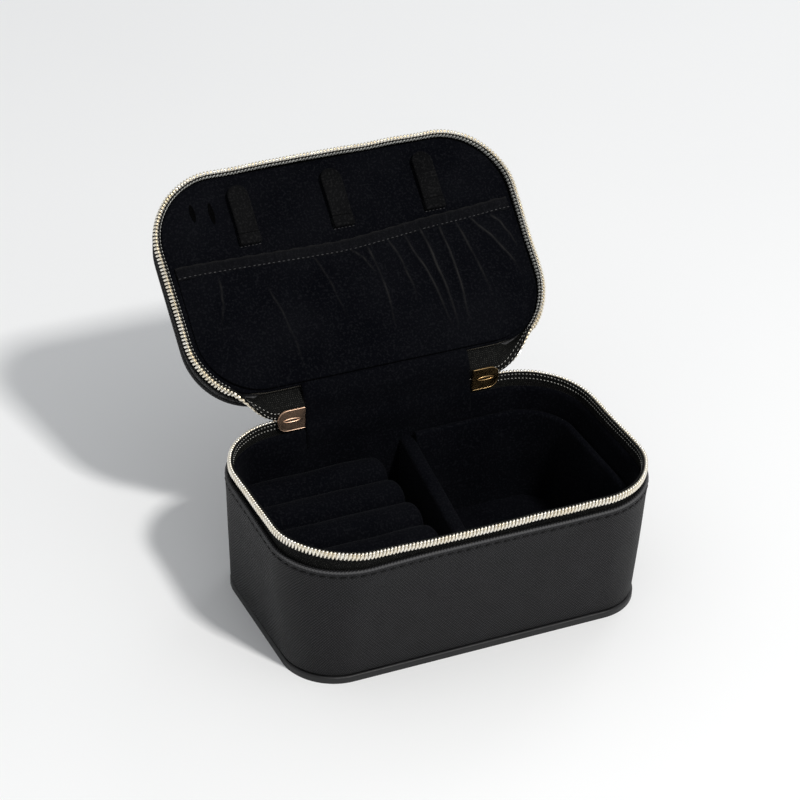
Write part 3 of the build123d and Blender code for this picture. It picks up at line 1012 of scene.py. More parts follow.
def bend(piece: Piece, finish: Material, slot: Slot, start: Sequence[float], end: Sequence[float],
         *stands_for: str) -> Piece:
    """Gives a piece its finish, bakes its placing into its mesh and hides the CAD nodes it is shown in place
    of.

    Args:
        piece: A finished mesh, in place.
        finish: Its material.
        slot: The record's material slot; not used.
        start: Where it stops riding wholly on the base, in metres; not used.
        end: Where it starts riding wholly on the lid, in metres; not used.
        *stands_for: CAD nodes it is shown in place of.

    Returns:
        The same piece.
    """
    piece.data.materials.clear()
    piece.data.materials.append(finish)
    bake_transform(piece)
    if stands_for:
        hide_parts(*stands_for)
    return piece


def places_of(mesh: Mesh) -> np.ndarray:
    """A mesh's places in metres, as (n, 3)."""
    places = np.empty(len(mesh.vertices) * 3)
    mesh.vertices.foreach_get("co", places)
    return places.reshape(-1, 3)


def set_places(mesh: Mesh, places: np.ndarray) -> None:
    """Moves a mesh's places, given in metres."""
    mesh.vertices.foreach_set("co", places.ravel())
    mesh.update()


def set_fold(piece: Piece, values: np.ndarray) -> None:
    """Gives each place of a mesh its share of the painted highlight along its folds."""
    piece.data.attributes.new("fold", "FLOAT", "POINT").data.foreach_set("value", values)


def reshape(piece: Piece, change: Warp) -> Piece:
    """Moves a mesh's places by a function on (n, 3) millimetres."""
    set_places(piece.data, change(places_of(piece.data) / MM) * MM)
    return piece


def plumped(piece: Piece, voxel: float, pressure: float, cap: float) -> Piece:
    """Swells a padded piece with a short cloth simulation.

    Args:
        piece: A closed mesh.
        voxel: Size of the cloth's cells, in millimetres.
        pressure: The padding's push.
        cap: The furthest that a place may move, in millimetres.

    Returns:
        The piece, with the result in its mesh.
    """
    remesh = piece.modifiers.new("cells", "REMESH")
    remesh.mode = "VOXEL"
    remesh.voxel_size = voxel * MM
    remesh.use_smooth_shade = True
    finish_modifiers(piece)
    rest = places_of(piece.data)
    cloth = piece.modifiers.new("cloth", "CLOTH")
    cloth.settings.quality = 5
    cloth.settings.mass = 0.3
    cloth.settings.tension_stiffness = 15
    cloth.settings.compression_stiffness = 15
    cloth.settings.bending_stiffness = 0.5
    cloth.settings.use_pressure = True
    cloth.settings.uniform_pressure_force = pressure
    cloth.settings.effector_weights.gravity = 0.0
    cloth.point_cache.frame_start = 1
    cloth.point_cache.frame_end = CLOTH_FRAMES
    for step in range(1, CLOTH_FRAMES + 1):
        bpy.context.scene.frame_set(step)
    graph = bpy.context.evaluated_depsgraph_get()
    result = places_of(piece.evaluated_get(graph).to_mesh())
    piece.evaluated_get(graph).to_mesh_clear()
    piece.modifiers.clear()
    bpy.context.scene.frame_set(1)
    move = result - rest
    far = np.linalg.norm(move, axis=1, keepdims=True)
    move *= np.minimum(1.0, cap * MM / np.maximum(far, 1e-9))
    set_places(piece.data, rest + move)
    finer = piece.modifiers.new("finer", "SUBSURF")
    finer.levels = 1
    finer.render_levels = 1
    return finish_modifiers(piece)


TOPSTITCH = {"Pitch": 0.004, "Length": 0.0026, "Width": 0.00085, "Depth": 0.00055}
TAPE_DOTS = {"Pitch": 0.0015, "Length": 0.00076, "Width": 0.00036, "Depth": 0.00028}


# ---------------------------------------------------------------- base
@dataclass
class BaseShell:
    """The base's leather wall, its topstitch, and the velvet that lines it."""

    rack: FinishRack
    stitches: StitchMaker
    leather: float = 1.2
    hem: float = 2.4
    lining_in: float = 4.55
    lining_out: float = 3.1
    stitch_drop: float = 2.35
    foot_fill: float = 0.75
    # How strongly the painted highlight shows on the folded top edge.
    edge_highlight: float = 0.75

    def sway(self, runs: np.ndarray) -> np.ndarray:
        """Slight unevenness of the wall and its edge."""
        inward = ripple(runs, 36, 0.28, 2.0)
        upward = ripple(runs, 55, 0.3, 8.0) - 1.6 * smooth(1 - np.abs(runs - 312) / 58)
        back = smooth((60 - from_back(runs)) / 20)
        return np.stack([inward, upward * (1 - back)], axis=1)

    def wall(self) -> Piece:
        """The leather wall, double at its folded top edge."""
        edge, hem = EDGE, self.hem
        line = edge - self.stitch_drop
        section = [(0.35, WALL_FOOT), (0.05, WALL_FOOT + 0.7), (0.0, 9.0), (-0.1, 17.0), (-0.18, 26.0),
                   (-0.16, 34.0), (-0.08, 42.0), (0.0, 48.0), (-0.08, 51.0), (-0.1, line - 0.8),
                   (0.12, line - 0.15), (0.14, line + 0.15), (-0.08, line + 0.7), (-0.1, edge - 0.9),
                   (0.1, edge - 0.4), (0.45, edge - 0.1), (1.0, edge + 0.05), (1.6, edge), (2.15, edge - 0.25),
                   (hem, edge - 0.7), (hem, edge - 4), (hem, edge - 7.9), (self.leather, edge - 8),
                   (self.leather, 30.0), (self.leather, 12.0), (self.leather, WALL_FOOT)]
        insets, heights = np.array(section).T
        runs = around(260)
        share = np.clip((heights - WALL_FOOT) / (edge - WALL_FOOT), 0, 1)
        sway = self.sway(runs)
        fuller = self.foot_fill * smooth(1 - np.abs(runs - 362) / 62)[:, None] * (1 - share) ** 3
        inset = insets + sway[:, :1] * share - np.where(insets < self.leather - 0.1, fuller, 0)
        height = heights + sway[:, 1:] * share**4
        rows = BASE_RIM.place(runs[:, None] * np.ones_like(inset), inset, height)
        # Painted highlight on the rounded outer face of the folded edge.
        fold = np.where((heights > edge - 0.5) & (insets < 0.6), self.edge_highlight, 0.0)
        piece = Skin("base_wall_leather", rows, wrap_rows=True, fold=fold).mesh()
        return dress(piece, self.rack.leather, Body.BASE.value, Slot.LEATHER, "base_leather")

    def topstitch(self) -> Piece:
        """The row of stitches below the folded edge."""
        runs = around(460)
        sway = self.sway(runs)
        path = BASE_RIM.place(runs, sway[:, 0], EDGE - self.stitch_drop + sway[:, 1])
        piece = self.stitches.run("base_topstitch_thread", path, self.rack.thread, closed=True,
                                  Slant=0.2, Seed=5, **TOPSTITCH)
        return dress(piece, self.rack.thread, Body.BASE.value, Slot.THREAD, "base_topstitch")

    def lining(self) -> Piece:
        """The velvet on the inside of the wall, rolled over at the tape."""
        inner, outer = self.lining_in, self.lining_out
        section = [(outer, 5.0), (outer, 20.0), (outer, 40.0), (outer, 54.2), (outer + 0.2, 54.9),
                   (outer + 0.65, 55.1), (inner - 0.45, 54.8), (inner - 0.08, 54.1), (inner + 0.06, 52.0),
                   (inner + 0.16, 44.0), (inner + 0.12, 30.0), (inner, 16.0), (inner, 5.0)]

        def sway(runs: np.ndarray) -> np.ndarray:
            """Soft swells of the velvet."""
            return np.stack([ripple(runs, 24, 0.22, 31.0), ripple(runs, 30, 0.25, 37.0)], axis=1)

        rows = band_rows(BASE_RIM, around(240), section, sway)
        piece = Skin("base_lining_velvet", rows, wrap_rows=True).mesh()
        return dress(piece, self.rack.velvet, Body.BASE.value, Slot.VELVET, "base_lining")

    def floor(self) -> Piece:
        """The padded velvet floor."""
        runs = around(160)
        edge = BASE_RIM.place(runs, self.lining_in + 0.1, 5.5)[:, :2]
        section = [(99.0, 4.95), (40.0, 4.95), (10.0, 4.95)] + rounded_side(4.95, 6.0, 0.45)
        section += [(2.0, 6.15), (6.0, 6.3), (15.0, 6.35), (28.0, 6.35), (99.0, 6.35)]
        piece = Skin("floor_velvet_pad", pad_rows(edge, spine(edge, 28), section)).mesh()
        dress(piece, self.rack.velvet, Body.BASE.value, Slot.VELVET, "floor_velvet")
        return piece

    def build(self) -> list[Piece]:
        """Makes every piece of the shell and gives the kept CAD pieces their finish."""
        paint("foot_panel", self.rack.smooth)
        paint("base_wall_board", self.rack.board)
        paint("base_floor_board", self.rack.board)
        return [self.wall(), self.topstitch(), self.lining(), self.floor()]


def paint(node: str, finish: Material) -> None:
    """Gives a CAD node that stays a better material."""
    data = frame["nodes"][node].data
    if not data.materials:
        data.materials.append(finish)
    for index in range(len(data.materials)):
        data.materials[index] = finish


# ---------------------------------------------------------------- zip
@dataclass
class ZipRun:
    """What both halves of the zip share."""

    rack: FinishRack
    coils: CoilMaker
    stitches: StitchMaker
    tape_face: float = 2.45
    tape_back: float = 3.05
    coil_middle: float = 1.6
    coil_height: float = 3.5
    meeting: float = 61.5
    coil_gap: float = 0.1
    tooth: float = 1.5
    end: float = 36.6
    corner_lift: float = 1.5

    @property
    def coil_level(self) -> float:
        """Height of the middle of the base's coil."""
        return self.meeting - self.coil_gap - self.coil_height / 2

    def sway(self, runs: np.ndarray) -> np.ndarray:
        """The tape's slight waves, stilled where the sliders run."""
        still = smooth((from_back(runs) - 58) / 16)
        corner = smooth(1 - np.abs(runs - 312) / 58)
        inward = ripple(runs, 17, 0.3, 12.0) + ripple(runs, 42, 0.35, 15.0)
        upward = ripple(runs, 26, 0.3, 19.0) + self.corner_lift * corner
        return np.stack([inward * still, upward * still], axis=1)

    def tape_section(self, low: float, high: float) -> list[tuple[float, float]]:
        """The tape's thin section with rounded edges."""
        face, back = self.tape_face, self.tape_back
        levels = list(np.linspace(low, high, 7))
        up = [(face, z) for z in levels]
        down = [(back, z) for z in reversed(levels)]
        return up + [((face + back) / 2, high + 0.15)] + down


@dataclass
class BaseZip(ZipRun):
    """The base's half of the zip: tape, coil and the tape's stitching."""

    def build(self) -> list[Piece]:
        """Makes the tape, coil and stitching."""
        runs = np.linspace(self.end, ROUND - self.end, 300)
        rows = band_rows(BASE_RIM, runs, self.tape_section(48.2, 60.9), self.sway)
        tape = Skin("base_zip_tape_cloth", rows, caps=True).mesh()
        dress(tape, self.rack.tape, Body.BASE.value, Slot.TAPE, "base_zip_tape")
        fine = np.arange(self.end + 0.2, ROUND - self.end - 0.2, 0.75)
        sway = self.sway(fine)
        path = BASE_RIM.place(fine, self.coil_middle + sway[:, 0], self.coil_level + sway[:, 1])
        coil = self.coils.run("base_zip_teeth", path, self.rack.coil)
        dress(coil, self.rack.coil, Body.BASE.value, Slot.COIL, "base_zip_coil")
        pieces = [tape, coil]
        for number, height in enumerate((60.1, 58.1)):
            line = BASE_RIM.place(fine, self.tape_back + 0.06 + sway[:, 0], height + sway[:, 1])[3:-3]
            dots = self.stitches.run(f"base_tape_dots_{number + 1}", line, self.rack.tape_thread,
                                     Slant=0.25, Seed=11 + number, **TAPE_DOTS)
            pieces.append(dress(dots, self.rack.tape_thread, Body.BASE.value, Slot.THREAD))
        return pieces


@dataclass
class LidZip(ZipRun):
    """The lid's half of the zip, whose two ends twist down into the sliders."""

    twist_start: float = 48.5
    twist_end: float = 66.0

    @property
    def lid_level(self) -> float:
        """Height of the middle of the lid's coil, with the lid shut."""
        return self.meeting + self.coil_gap + self.coil_height / 2

    def turn_share(self, across: np.ndarray) -> np.ndarray:
        """How much of the lid's opening each x takes part in: none inside the sliders."""
        return smooth((np.abs(across) - self.twist_start) / (self.twist_end - self.twist_start))

    def opened(self, points: np.ndarray) -> np.ndarray:
        """Places on the twisted ends with the lid open, turned about the coil as it leaves the slider."""
        share = self.turn_share(points[..., 0])
        over = np.clip(np.abs(points[..., 0]) - 49.0, 0, CORNER_RADIUS - self.coil_middle)
        middle = np.array(points, float)
        middle[..., 1] = 19.0 + np.sqrt((CORNER_RADIUS - self.coil_middle) ** 2 - over**2)
        middle[..., 2] = self.lid_level
        angle = -OPENING * share
        y, z = points[..., 1] - middle[..., 1], points[..., 2] - middle[..., 2]
        result = middle + (swung(middle) - middle) * share[..., None]
        result[..., 1] += y * np.cos(angle) - z * np.sin(angle)
        result[..., 2] += y * np.sin(angle) + z * np.cos(angle)
        return result

    def stretches(self) -> dict[str, tuple[float, float]]:
        """Start and end run of the right end, the long middle and the left end."""
        turn = self.end + self.tooth * 22
        last = self.end + self.tooth * math.floor((ROUND - turn - self.end) / self.tooth)
        return {"right": (self.end, turn), "middle": (turn, last), "left": (last, ROUND - self.end)}

    def fit(self, piece: Piece, where: str, finish: Material, slot: Slot, *stands_for: str) -> Piece:
        """Opens a piece with the lid and lets it ride on the lid; a twisted end is opened and finished in
        place.
        """
        if where == "middle":
            reshape(piece, swung)
            return dress(piece, finish, Body.LID.value, slot, *stands_for)
        side = 1 if where == "right" else -1
        reshape(piece, self.opened)
        return bend(piece, finish, slot, (side * self.twist_start * MM, HINGE_Y * MM, HINGE_Z * MM),
                    (side * self.twist_end * MM, HINGE_Y * MM, HINGE_Z * MM))

    def tape(self, start: float, stop: float) -> Piece:
        """The long stretch of tape that stands up from inside the lid's folded edge."""
        runs = np.linspace(start, stop, 300)
        rows = band_rows(LID_RIM, runs, self.tape_section(72.9, self.meeting + self.coil_gap + 0.5), self.sway)
        piece = Skin("lid_zip_tape_cloth", rows, caps=True).mesh()
        return self.fit(piece, "middle", self.rack.tape, Slot.TAPE, "lid_zip_tape")

    def ribs(self, runs: np.ndarray, sway: np.ndarray) -> Piece:
        """The coil's pale legs, which show on the tape's inner face along the long stretch."""
        path = LID_RIM.place(runs, self.tape_back + 0.05 + sway[:, 0], 63.25 + sway[:, 1])
        piece = self.stitches.run("lid_coil_ribs", path, self.rack.rib_thread, Pitch=0.0015, Length=0.00118,
                                  Width=0.0027, Depth=0.0006, Slant=0.22, Unevenness=0.02, Seed=27)
        return self.fit(piece, "middle", self.rack.rib_thread, Slot.THREAD)

    def tape_end(self, where: str, start: float, stop: float) -> Piece:
        """The tape's end, drawn down from the lid's velvet edge into the slider.

        Args:
            where: "right" or "left".
            start: Its first run.
            stop: Its last run.

        Returns:
            The finished piece.
        """
        runs = np.linspace(start, stop, 44)
        middle = (self.tape_face + self.tape_back) / 2
        levels = (62.1, 63.0, 64.0, 65.0, 66.0)
        free = np.stack([self.opened(LID_RIM.place(runs, middle, level)) for level in levels], axis=1)
        share = self.turn_share(free[:, 0, 0])[:, None]
        held = swung(LID_RIM.place(runs, middle, 72.8))
        tucked = swung(LID_RIM.place(runs, 4.7, 67.0))
        root = tucked + (held - tucked) * share
        steps = np.linspace(0, 1, 9)[None, 1:, None]
        rest = free[:, -1:, :] + (root[:, None, :] - free[:, -1:, :]) * steps
        rows = np.concatenate([free, rest], axis=1)
        piece = thickened(Skin(f"lid_zip_tape_{where}", rows, wrap_across=False).mesh(), CLOTH_THICK)
        side = 1 if where == "right" else -1
        return bend(piece, self.rack.tape, Slot.TAPE, (side * 0.049, 0.0478, 0.0626),
                    (side * 0.0507, 0.0529, 0.0677))

    def build(self) -> list[Piece]:
        """Makes the three stretches of tape, coil and stitching."""
        pieces = []
        for where, (start, stop) in self.stretches().items():
            pieces.append(self.tape(start, stop) if where == "middle" else self.tape_end(where, start, stop))
            fine = np.linspace(start, stop, max(24, int((stop - start) / 0.75)))
            sway = self.sway(fine)
            path = LID_RIM.place(fine, self.coil_middle + sway[:, 0], self.lid_level + sway[:, 1])
            deep = 0.0026 if where == "middle" else 0.0018
            coil = self.coils.run(f"lid_zip_teeth_{where}", path, self.rack.coil, Depth=deep)
            stands = ("lid_zip_coil",) if where == "middle" else ()
            pieces.append(self.fit(coil, where, self.rack.coil, Slot.COIL, *stands))
            if where == "middle":
                pieces.append(self.ribs(fine, sway))
                continue
            for number, height in enumerate((62.9, 64.9)):
                line = LID_RIM.place(fine, self.tape_back + 0.06 + sway[:, 0], height + sway[:, 1])
                line = line[3:] if where == "right" else line[:-3]
                dots = self.stitches.run(f"lid_tape_dots_{where}_{number + 1}", line, self.rack.tape_thread,
                                         Slant=-0.25, Seed=21 + number, **TAPE_DOTS)
                pieces.append(self.fit(dots, where, self.rack.tape_thread, Slot.THREAD))
        return pieces


# ---------------------------------------------------------------- hinge
@dataclass
class LeatherHinge:
    """The leather strip that joins base and lid, and the velvet that covers it inside."""

    rack: FinishRack
    half: float = 36.5

    def sheet_of(self, name: str, line: Sequence[tuple[float, float]], thickness: float,
                 seed: float) -> tuple[Piece, float]:
        """A sheet along the hinge that follows a line of (y, z) places.

        Args:
            name: The piece's name.
            line: The places its middle goes through.
            thickness: The sheet's thickness.
            seed: Picks its unevenness.

        Returns:
            The piece and the line's length in millimetres.
        """
        path = flow(line, 46)
        xs = np.linspace(-self.half, self.half, 42)
        middle = np.sin(np.linspace(0, math.pi, len(path)))
        rows = np.zeros((len(xs), len(path), 3))
        for i, x in enumerate(xs):
            bulge = ripple(np.array([x]), 21, 0.22, seed)[0]
            rows[i, :, 0] = x
            rows[i, :, 1] = path[:, 0] - bulge * middle * 0.8
            rows[i, :, 2] = path[:, 1] + bulge * middle * 0.4
        piece = thickened(Skin(name, rows, wrap_across=False).mesh(), thickness)
        return piece, float(np.linalg.norm(np.diff(path, axis=0), axis=1).sum())

    def build(self) -> list[Piece]:
        """Makes the leather strip and its velvet face."""
        outside = [(48.35, 51.5), (48.5, 54.5), (49.0, 57.0), (49.3, 61.0), (49.3, 65.0), (49.6, 67.2),
                   (50.5, 67.7), (51.3, 67.2), (52.3, 66.6)]
        strip, length = self.sheet_of("hinge_leather_strip", outside, 1.05, 51.0)
        bend(strip, self.rack.smooth, Slot.SMOOTH, (0, 0.0493, 0.0672), (0, 0.0513, 0.0672), "hinge_leather")
        inside = [(45.0, 27.0), (44.95, 36.0), (45.0, 46.0), (45.2, 52.0), (45.7, 55.6), (46.5, 57.6),
                  (47.2, 60.5), (47.7, 64.0), (48.3, 67.6), (49.8, 70.8), (51.4, 72.8), (53.2, 73.4),
                  (55.0, 73.6)]
        face, length = self.sheet_of("hinge_velvet_face", inside, 0.9, 57.0)
        bend(face, self.rack.velvet, Slot.VELVET, (0, 0.0480, 0.0650), (0, 0.0513, 0.0722), "hinge_velvet")
        return [strip, face]


# ---------------------------------------------------------------- what stands in the base
@dataclass
class Compartments:
    """The divider and the liner of the open compartment."""

    rack: FinishRack
    skew: float = 7.0
    middle_x: float = 2.0
    thick: float = 6.2
    top: float = 43.0
    low: float = 6.3
    liner_face: float = 6.55
    liner_back: float = 9.55
    liner_top: float = 46.0

    def across(self, offset: float, y: np.ndarray) -> np.ndarray:
        """X of a line beside the divider's middle, at each y."""
        turn = math.radians(self.skew)
        return self.middle_x + offset / math.cos(turn) + y * math.tan(turn)

    def divider(self) -> Piece:
        """The divider in its velvet, with soft upper edges."""
        half, top = self.thick / 2, self.top
        right = [(half - 2.0, top), (half - 1.0, top - 0.15), (half - 0.35, top - 0.7), (half, top - 1.6),
                 (half + 0.1, 30.0), (half, 18.0), (half, self.low)]
        section = [(-offset, z) for offset, z in reversed(right)] + [(0.0, top + 0.05)] + right
        shares = np.linspace(-1, 1, 40)
        rows = np.zeros((len(shares), len(section), 3))
        for j, (offset, z) in enumerate(section):
            reach = BASE_RIM.size_at(np.array(z))[1] - 4.75
            y = shares * reach
            dip = 0.35 * (1 - shares**2) if z > top - 2 else 0.0
            rows[:, j, 0] = self.across(offset, y) + ripple(y, 25, 0.25, 61.0) * (z - self.low) / top
            rows[:, j, 1] = y
            rows[:, j, 2] = z - dip
        piece = Skin("divider_velvet_cover", rows, caps=True).mesh()
        dress(piece, self.rack.velvet, Body.BASE.value, Slot.VELVET, "divider_velvet")
        return piece

    def liner(self) -> Piece:
        """The velvet-covered collar round the open compartment."""
        face, back, top = self.liner_face, self.liner_back, self.liner_top
        section = [(face, self.low), (face, 25.0), (face, top - 1.2), (face + 0.3, top - 0.5),
                   (face + 0.9, top - 0.05), (face + 1.5, top), (back - 0.9, top - 0.05),
                   (back - 0.3, top - 0.5), (back, top - 1.2), (back + 0.1, 25.0), (back, self.low)]
        beside = self.thick / 2 - 0.8
        start = float(self.across(beside, np.array(42.0)))
        front = float(self.across(beside, np.array(-42.0)))
        stop = RUN_STOPS[4] + (RUN_STOPS[5] - RUN_STOPS[4]) / 2 - front

        def sway(runs: np.ndarray) -> np.ndarray:
            """Soft swells of the velvet."""
            return np.stack([ripple(runs, 22, 0.35, 71.0), ripple(runs, 34, 0.3, 77.0)], axis=1)

        runs = np.linspace(start, stop, 150)
        rows = band_rows(BASE_RIM, runs, section, sway)
        rows[..., 0] = np.maximum(rows[..., 0], self.across(beside, rows[..., 1]))
        piece = Skin("liner_velvet_cover", rows, caps=True).mesh()
        dress(piece, self.rack.velvet, Body.BASE.value, Slot.VELVET, "liner_velvet")
        return piece

    def build(self) -> list[Piece]:
        """Makes the divider's and liner's covers."""
        paint("divider_board", self.rack.board)
        paint("liner_board", self.rack.board)
        return [self.divider(), self.liner()]


@dataclass
class RingTray:
    """Five padded rolls on a velvet-covered block."""

    rack: FinishRack
    lining: float = 4.85
    end_round: float = 4.2
    roll_wide: float = 8.32
    roll_tall: float = 8.25

    def wall_x(self, y: np.ndarray, z: np.ndarray) -> np.ndarray:
        """X of the lining's face on the left, at each y and z."""
        half_length, half_width, radius = BASE_RIM.size_at(z)
        rounding = radius - self.lining
        across = half_length - self.lining - rounding
        over = np.clip(np.abs(y) - (half_width - self.lining - rounding), 0, rounding)
        return -(across + np.sqrt(np.maximum(rounding**2 - over**2, 0)))

    def roll(self, number: int) -> Piece:
        """One roll, from the lining to its rounded right end."""
        low, high = box_mm(f"ring_roll_{number}")
        wide, tall = self.roll_wide, self.roll_tall
        y_mid, z_mid, right = (low.y + high.y) / 2, high.z - tall, high.x
        angles = turns_of(40)
        y = y_mid + wide * np.sign(np.cos(angles)) * np.abs(np.cos(angles)) ** 0.92
        z = z_mid + tall * np.sin(angles)
        limit = BASE_RIM.size_at(z)[1] - self.lining
        y = np.clip(y, -limit, limit)
        left = self.wall_x(y, z)

        def ring(x: np.ndarray | float, size: float) -> np.ndarray:
            """The roll's section at an x, drawn in or out by a size."""
            return np.column_stack([x + 0 * y, y_mid + (y - y_mid) * size, z_mid + (z - z_mid) * size])

        rows = [ring(left + 0.6, 0.55), ring(left + 0.6, 0.85)]
        for share in np.linspace(0, 1, 26):
            x = left + 0.3 + (right - self.end_round - left - 0.3) * share
            rows.append(ring(x, 1 + 0.012 * math.sin(7 * share + number)))
        for turn in np.radians([15, 30, 45, 60, 75, 88]):
            size = (tall - self.end_round + self.end_round * math.cos(turn)) / tall
            rows.append(ring(right - self.end_round + self.end_round * math.sin(turn), size))
        rows += [ring(right + bulge, size) for size, bulge in ((0.36, 0.12), (0.18, 0.2), (0.0, 0.22))]
        start = rows[0].copy()
        start[:, 1:] = (y_mid, z_mid)
        start[:, 0] = start[:, 0].mean()
        piece = Skin(f"ring_roll_velvet_{number}", np.array([start] + rows)).mesh()

        def settle(points: np.ndarray) -> np.ndarray:
            """Slight unevenness of the stuffing, less on the sides that touch."""
            out = points - np.array([0, y_mid, z_mid])
            out[:, 0] = 0
            reach = np.maximum(np.linalg.norm(out, axis=1, keepdims=True), 1e-6)
            lift = crumple(points, 13, 0.5, 3.1 * number)[:, None]
            upward = np.clip(out[:, 2:3] / reach, 0, 1)
            return points + out / reach * lift * upward

        reshape(piece, settle)
        plumped(piece, 1.3, 4.0, 0.35)
        dress(piece, self.rack.velvet, Body.BASE.value, Slot.VELVET, f"ring_roll_{number}")
        return piece

    def block(self) -> Piece:
        """The velvet-covered block that the rolls lie on."""
        low, high = box_mm("ring_tray_foam")
        runs = around(200)
        edge = BASE_RIM.place(runs, self.lining + 0.05, 16.0)[:, :2]
        edge[:, 0] = np.minimum(edge[:, 0], high.x + 0.15)
        core = np.column_stack([np.full(len(edge), -40.0), np.zeros(len(edge))])
        section = [(99.0, low.z + 0.1), (20.0, low.z + 0.1)] + rounded_side(low.z + 0.1, high.z, 1.1)
        section += [(6.0, high.z), (99.0, high.z)]
        piece = Skin("ring_tray_velvet_block", pad_rows(edge, core, section)).mesh()
        dress(piece, self.rack.velvet, Body.BASE.value, Slot.VELVET, "ring_tray_foam")
        return piece

    def build(self) -> list[Piece]:
        """Makes the block and its rolls."""
        paint("ring_tray_board", self.rack.board)
        return [self.block()] + [self.roll(number) for number in range(1, 6)]


# ---------------------------------------------------------------- lid
@dataclass
class LidShell:
    """The lid's leather wall, padded top, and the velvet panel inside."""

    rack: FinishRack
    stitches: StitchMaker
    leather: float = 1.2
    hem: float = 2.4
    stitch_rise: float = 2.35
    slim: float = 0.75
    panel_inset: float = 3.7
    panel_face: float = 64.5

    def sway(self, runs: np.ndarray) -> np.ndarray:
        """Slight unevenness of the lid's wall and its edge."""
        back = smooth((60 - from_back(runs)) / 20)
        return np.stack([ripple(runs, 34, 0.2, 81.0), ripple(runs, 50, 0.25, 87.0) * (1 - back)], axis=1)

    def wall(self) -> Piece:
        """The leather wall, double at its folded edge."""
        edge, top, hem = HINGE_Z, LID_TOP, self.hem
        line = edge + self.stitch_rise
        face = [(0.35, top), (0.0, top - 0.6), (-0.1, 75.0), (-0.08, line + 0.9), (0.14, line + 0.15),
                (0.16, line - 0.15), (-0.05, line - 0.7), (-0.05, edge + 0.9), (0.12, edge + 0.35),
                (0.4, edge + 0.1)]
        section = [(inset + self.slim, z) for inset, z in face]
        section += [(1.6, edge), (2.15, edge + 0.25), (hem, edge + 0.7), (hem, edge + 3), (hem, edge + 5.9),
                    (self.leather + 0.3, edge + 6.0), (self.leather + 0.3, top)]
        rows = band_rows(LID_RIM, around(260), section, self.sway)
        piece = Skin("lid_wall_leather", swung(rows), wrap_rows=True).mesh()
        return dress(piece, self.rack.leather, Body.LID.value, Slot.LEATHER, "lid_leather")

    def topstitch(self) -> Piece:
        """The row of stitches above the folded edge."""
        runs = around(460)
        sway = self.sway(runs)
        path = LID_RIM.place(runs, sway[:, 0] + self.slim, HINGE_Z + self.stitch_rise + sway[:, 1])
        piece = self.stitches.run("lid_topstitch_thread", path, self.rack.thread, closed=True,
                                  Slant=-0.2, Seed=7, **TOPSTITCH)
        reshape(piece, swung)
        return dress(piece, self.rack.thread, Body.LID.value, Slot.THREAD, "lid_topstitch")

    def top(self) -> Piece:
        """The padded leather top, crowned, with a rounded edge."""
        runs = around(200)
        edge = LID_RIM.place(runs, self.slim - 0.5, LID_TOP)[:, :2]
        low = HINGE_Z + 10.55
        section = [(99.0, low), (40.0, low), (12.0, low)] + rounded_side(low, low + 3.15, 1.35)
        section += [(3.0, low + 3.5), (6.0, low + 3.85), (11.0, low + 4.15), (18.0, low + 4.35),
                    (28.0, low + 4.45), (40.0, low + 4.5), (99.0, low + 4.5)]
        piece = Skin("lid_top_leather", swung(pad_rows(edge, spine(edge, 30), section))).mesh()
        flat = np.array([piece.data.vertices[loop.vertex_index].co for loop in piece.data.loops])
        across = flat[:, 1] * math.cos(OPENING) - flat[:, 2] * math.sin(OPENING)
        piece.data.uv_layers.active.data.foreach_set("uv", np.column_stack([flat[:, 0], across]).ravel())
        dress(piece, self.rack.leather, Body.LID.value, Slot.SMOOTH, "lid_top_panel")
        return piece

    def panel(self) -> Piece:
        """The velvet-covered panel that fills the lid's inside."""
        runs = around(200)
        near = smooth((66 - from_back(runs)) / 12)
        edge = LID_RIM.place(runs, self.panel_inset + 1.3 * near, HINGE_Z)[:, :2]
        face, back = self.panel_face, self.panel_face + 1.65
        section = [(99.0, back), (30.0, back), (8.0, back)] + rounded_side(back, face + 0.1, 0.75)
        section += [(2.0, face), (5.0, face - 0.02), (14.0, face - 0.05), (28.0, face - 0.08),
                    (99.0, face - 0.08)]
        piece = Skin("lid_velvet_panel", swung(pad_rows(edge, spine(edge, 30), section))).mesh()
        dress(piece, self.rack.velvet, Body.LID.value, Slot.VELVET, "lid_panel_velvet")
        return piece

    def slits(self) -> list[Piece]:
        """Two lipped slits in the panel for earring hooks."""
        pieces = []
        turns = turns_of(28)
        point = np.abs(np.sin(turns)) ** 1.5 * np.sign(np.sin(turns))
        for number, (x, y, length) in enumerate(((-60.0, -33.2, 5.6), (-52.2, -31.8, 7.4))):
            rows = []
            for wide, long, height in ((1.25, 1.1, 0.01), (1.05, 0.9, -0.31), (0.8, 0.45, -0.35),
                                       (0.62, 0.15, -0.19), (0.45, 0.0, -0.11), (0.2, -0.4, -0.09),
                                       (0.02, -1.2, -0.09), (0.02, -1.2, 0.5), (1.2, 1.0, 0.5)):
                rows.append(np.column_stack([x + wide * np.cos(turns), y + (length / 2 + long) * point,
                                             np.full(len(turns), self.panel_face + height)]))
            piece = Skin(f"earring_slit_{number + 1}", swung(np.array(rows)), wrap_rows=True).mesh()
            # The slits' near-black velvet is painted shade in their hollows.
            pieces.append(dress(piece, self.rack.shade_velvet, Body.LID.value, Slot.VELVET))
        return pieces

    def build(self) -> list[Piece]:
        """Makes every piece of the lid's shell and finishes the kept CAD pieces."""
        for node in ("lid_wall_board", "lid_top_board", "lid_inner_board"):
            paint(node, self.rack.board)
        paint("lid_foam", self.rack.foam)
        return [self.wall(), self.topstitch(), self.top(), self.panel()] + self.slits()


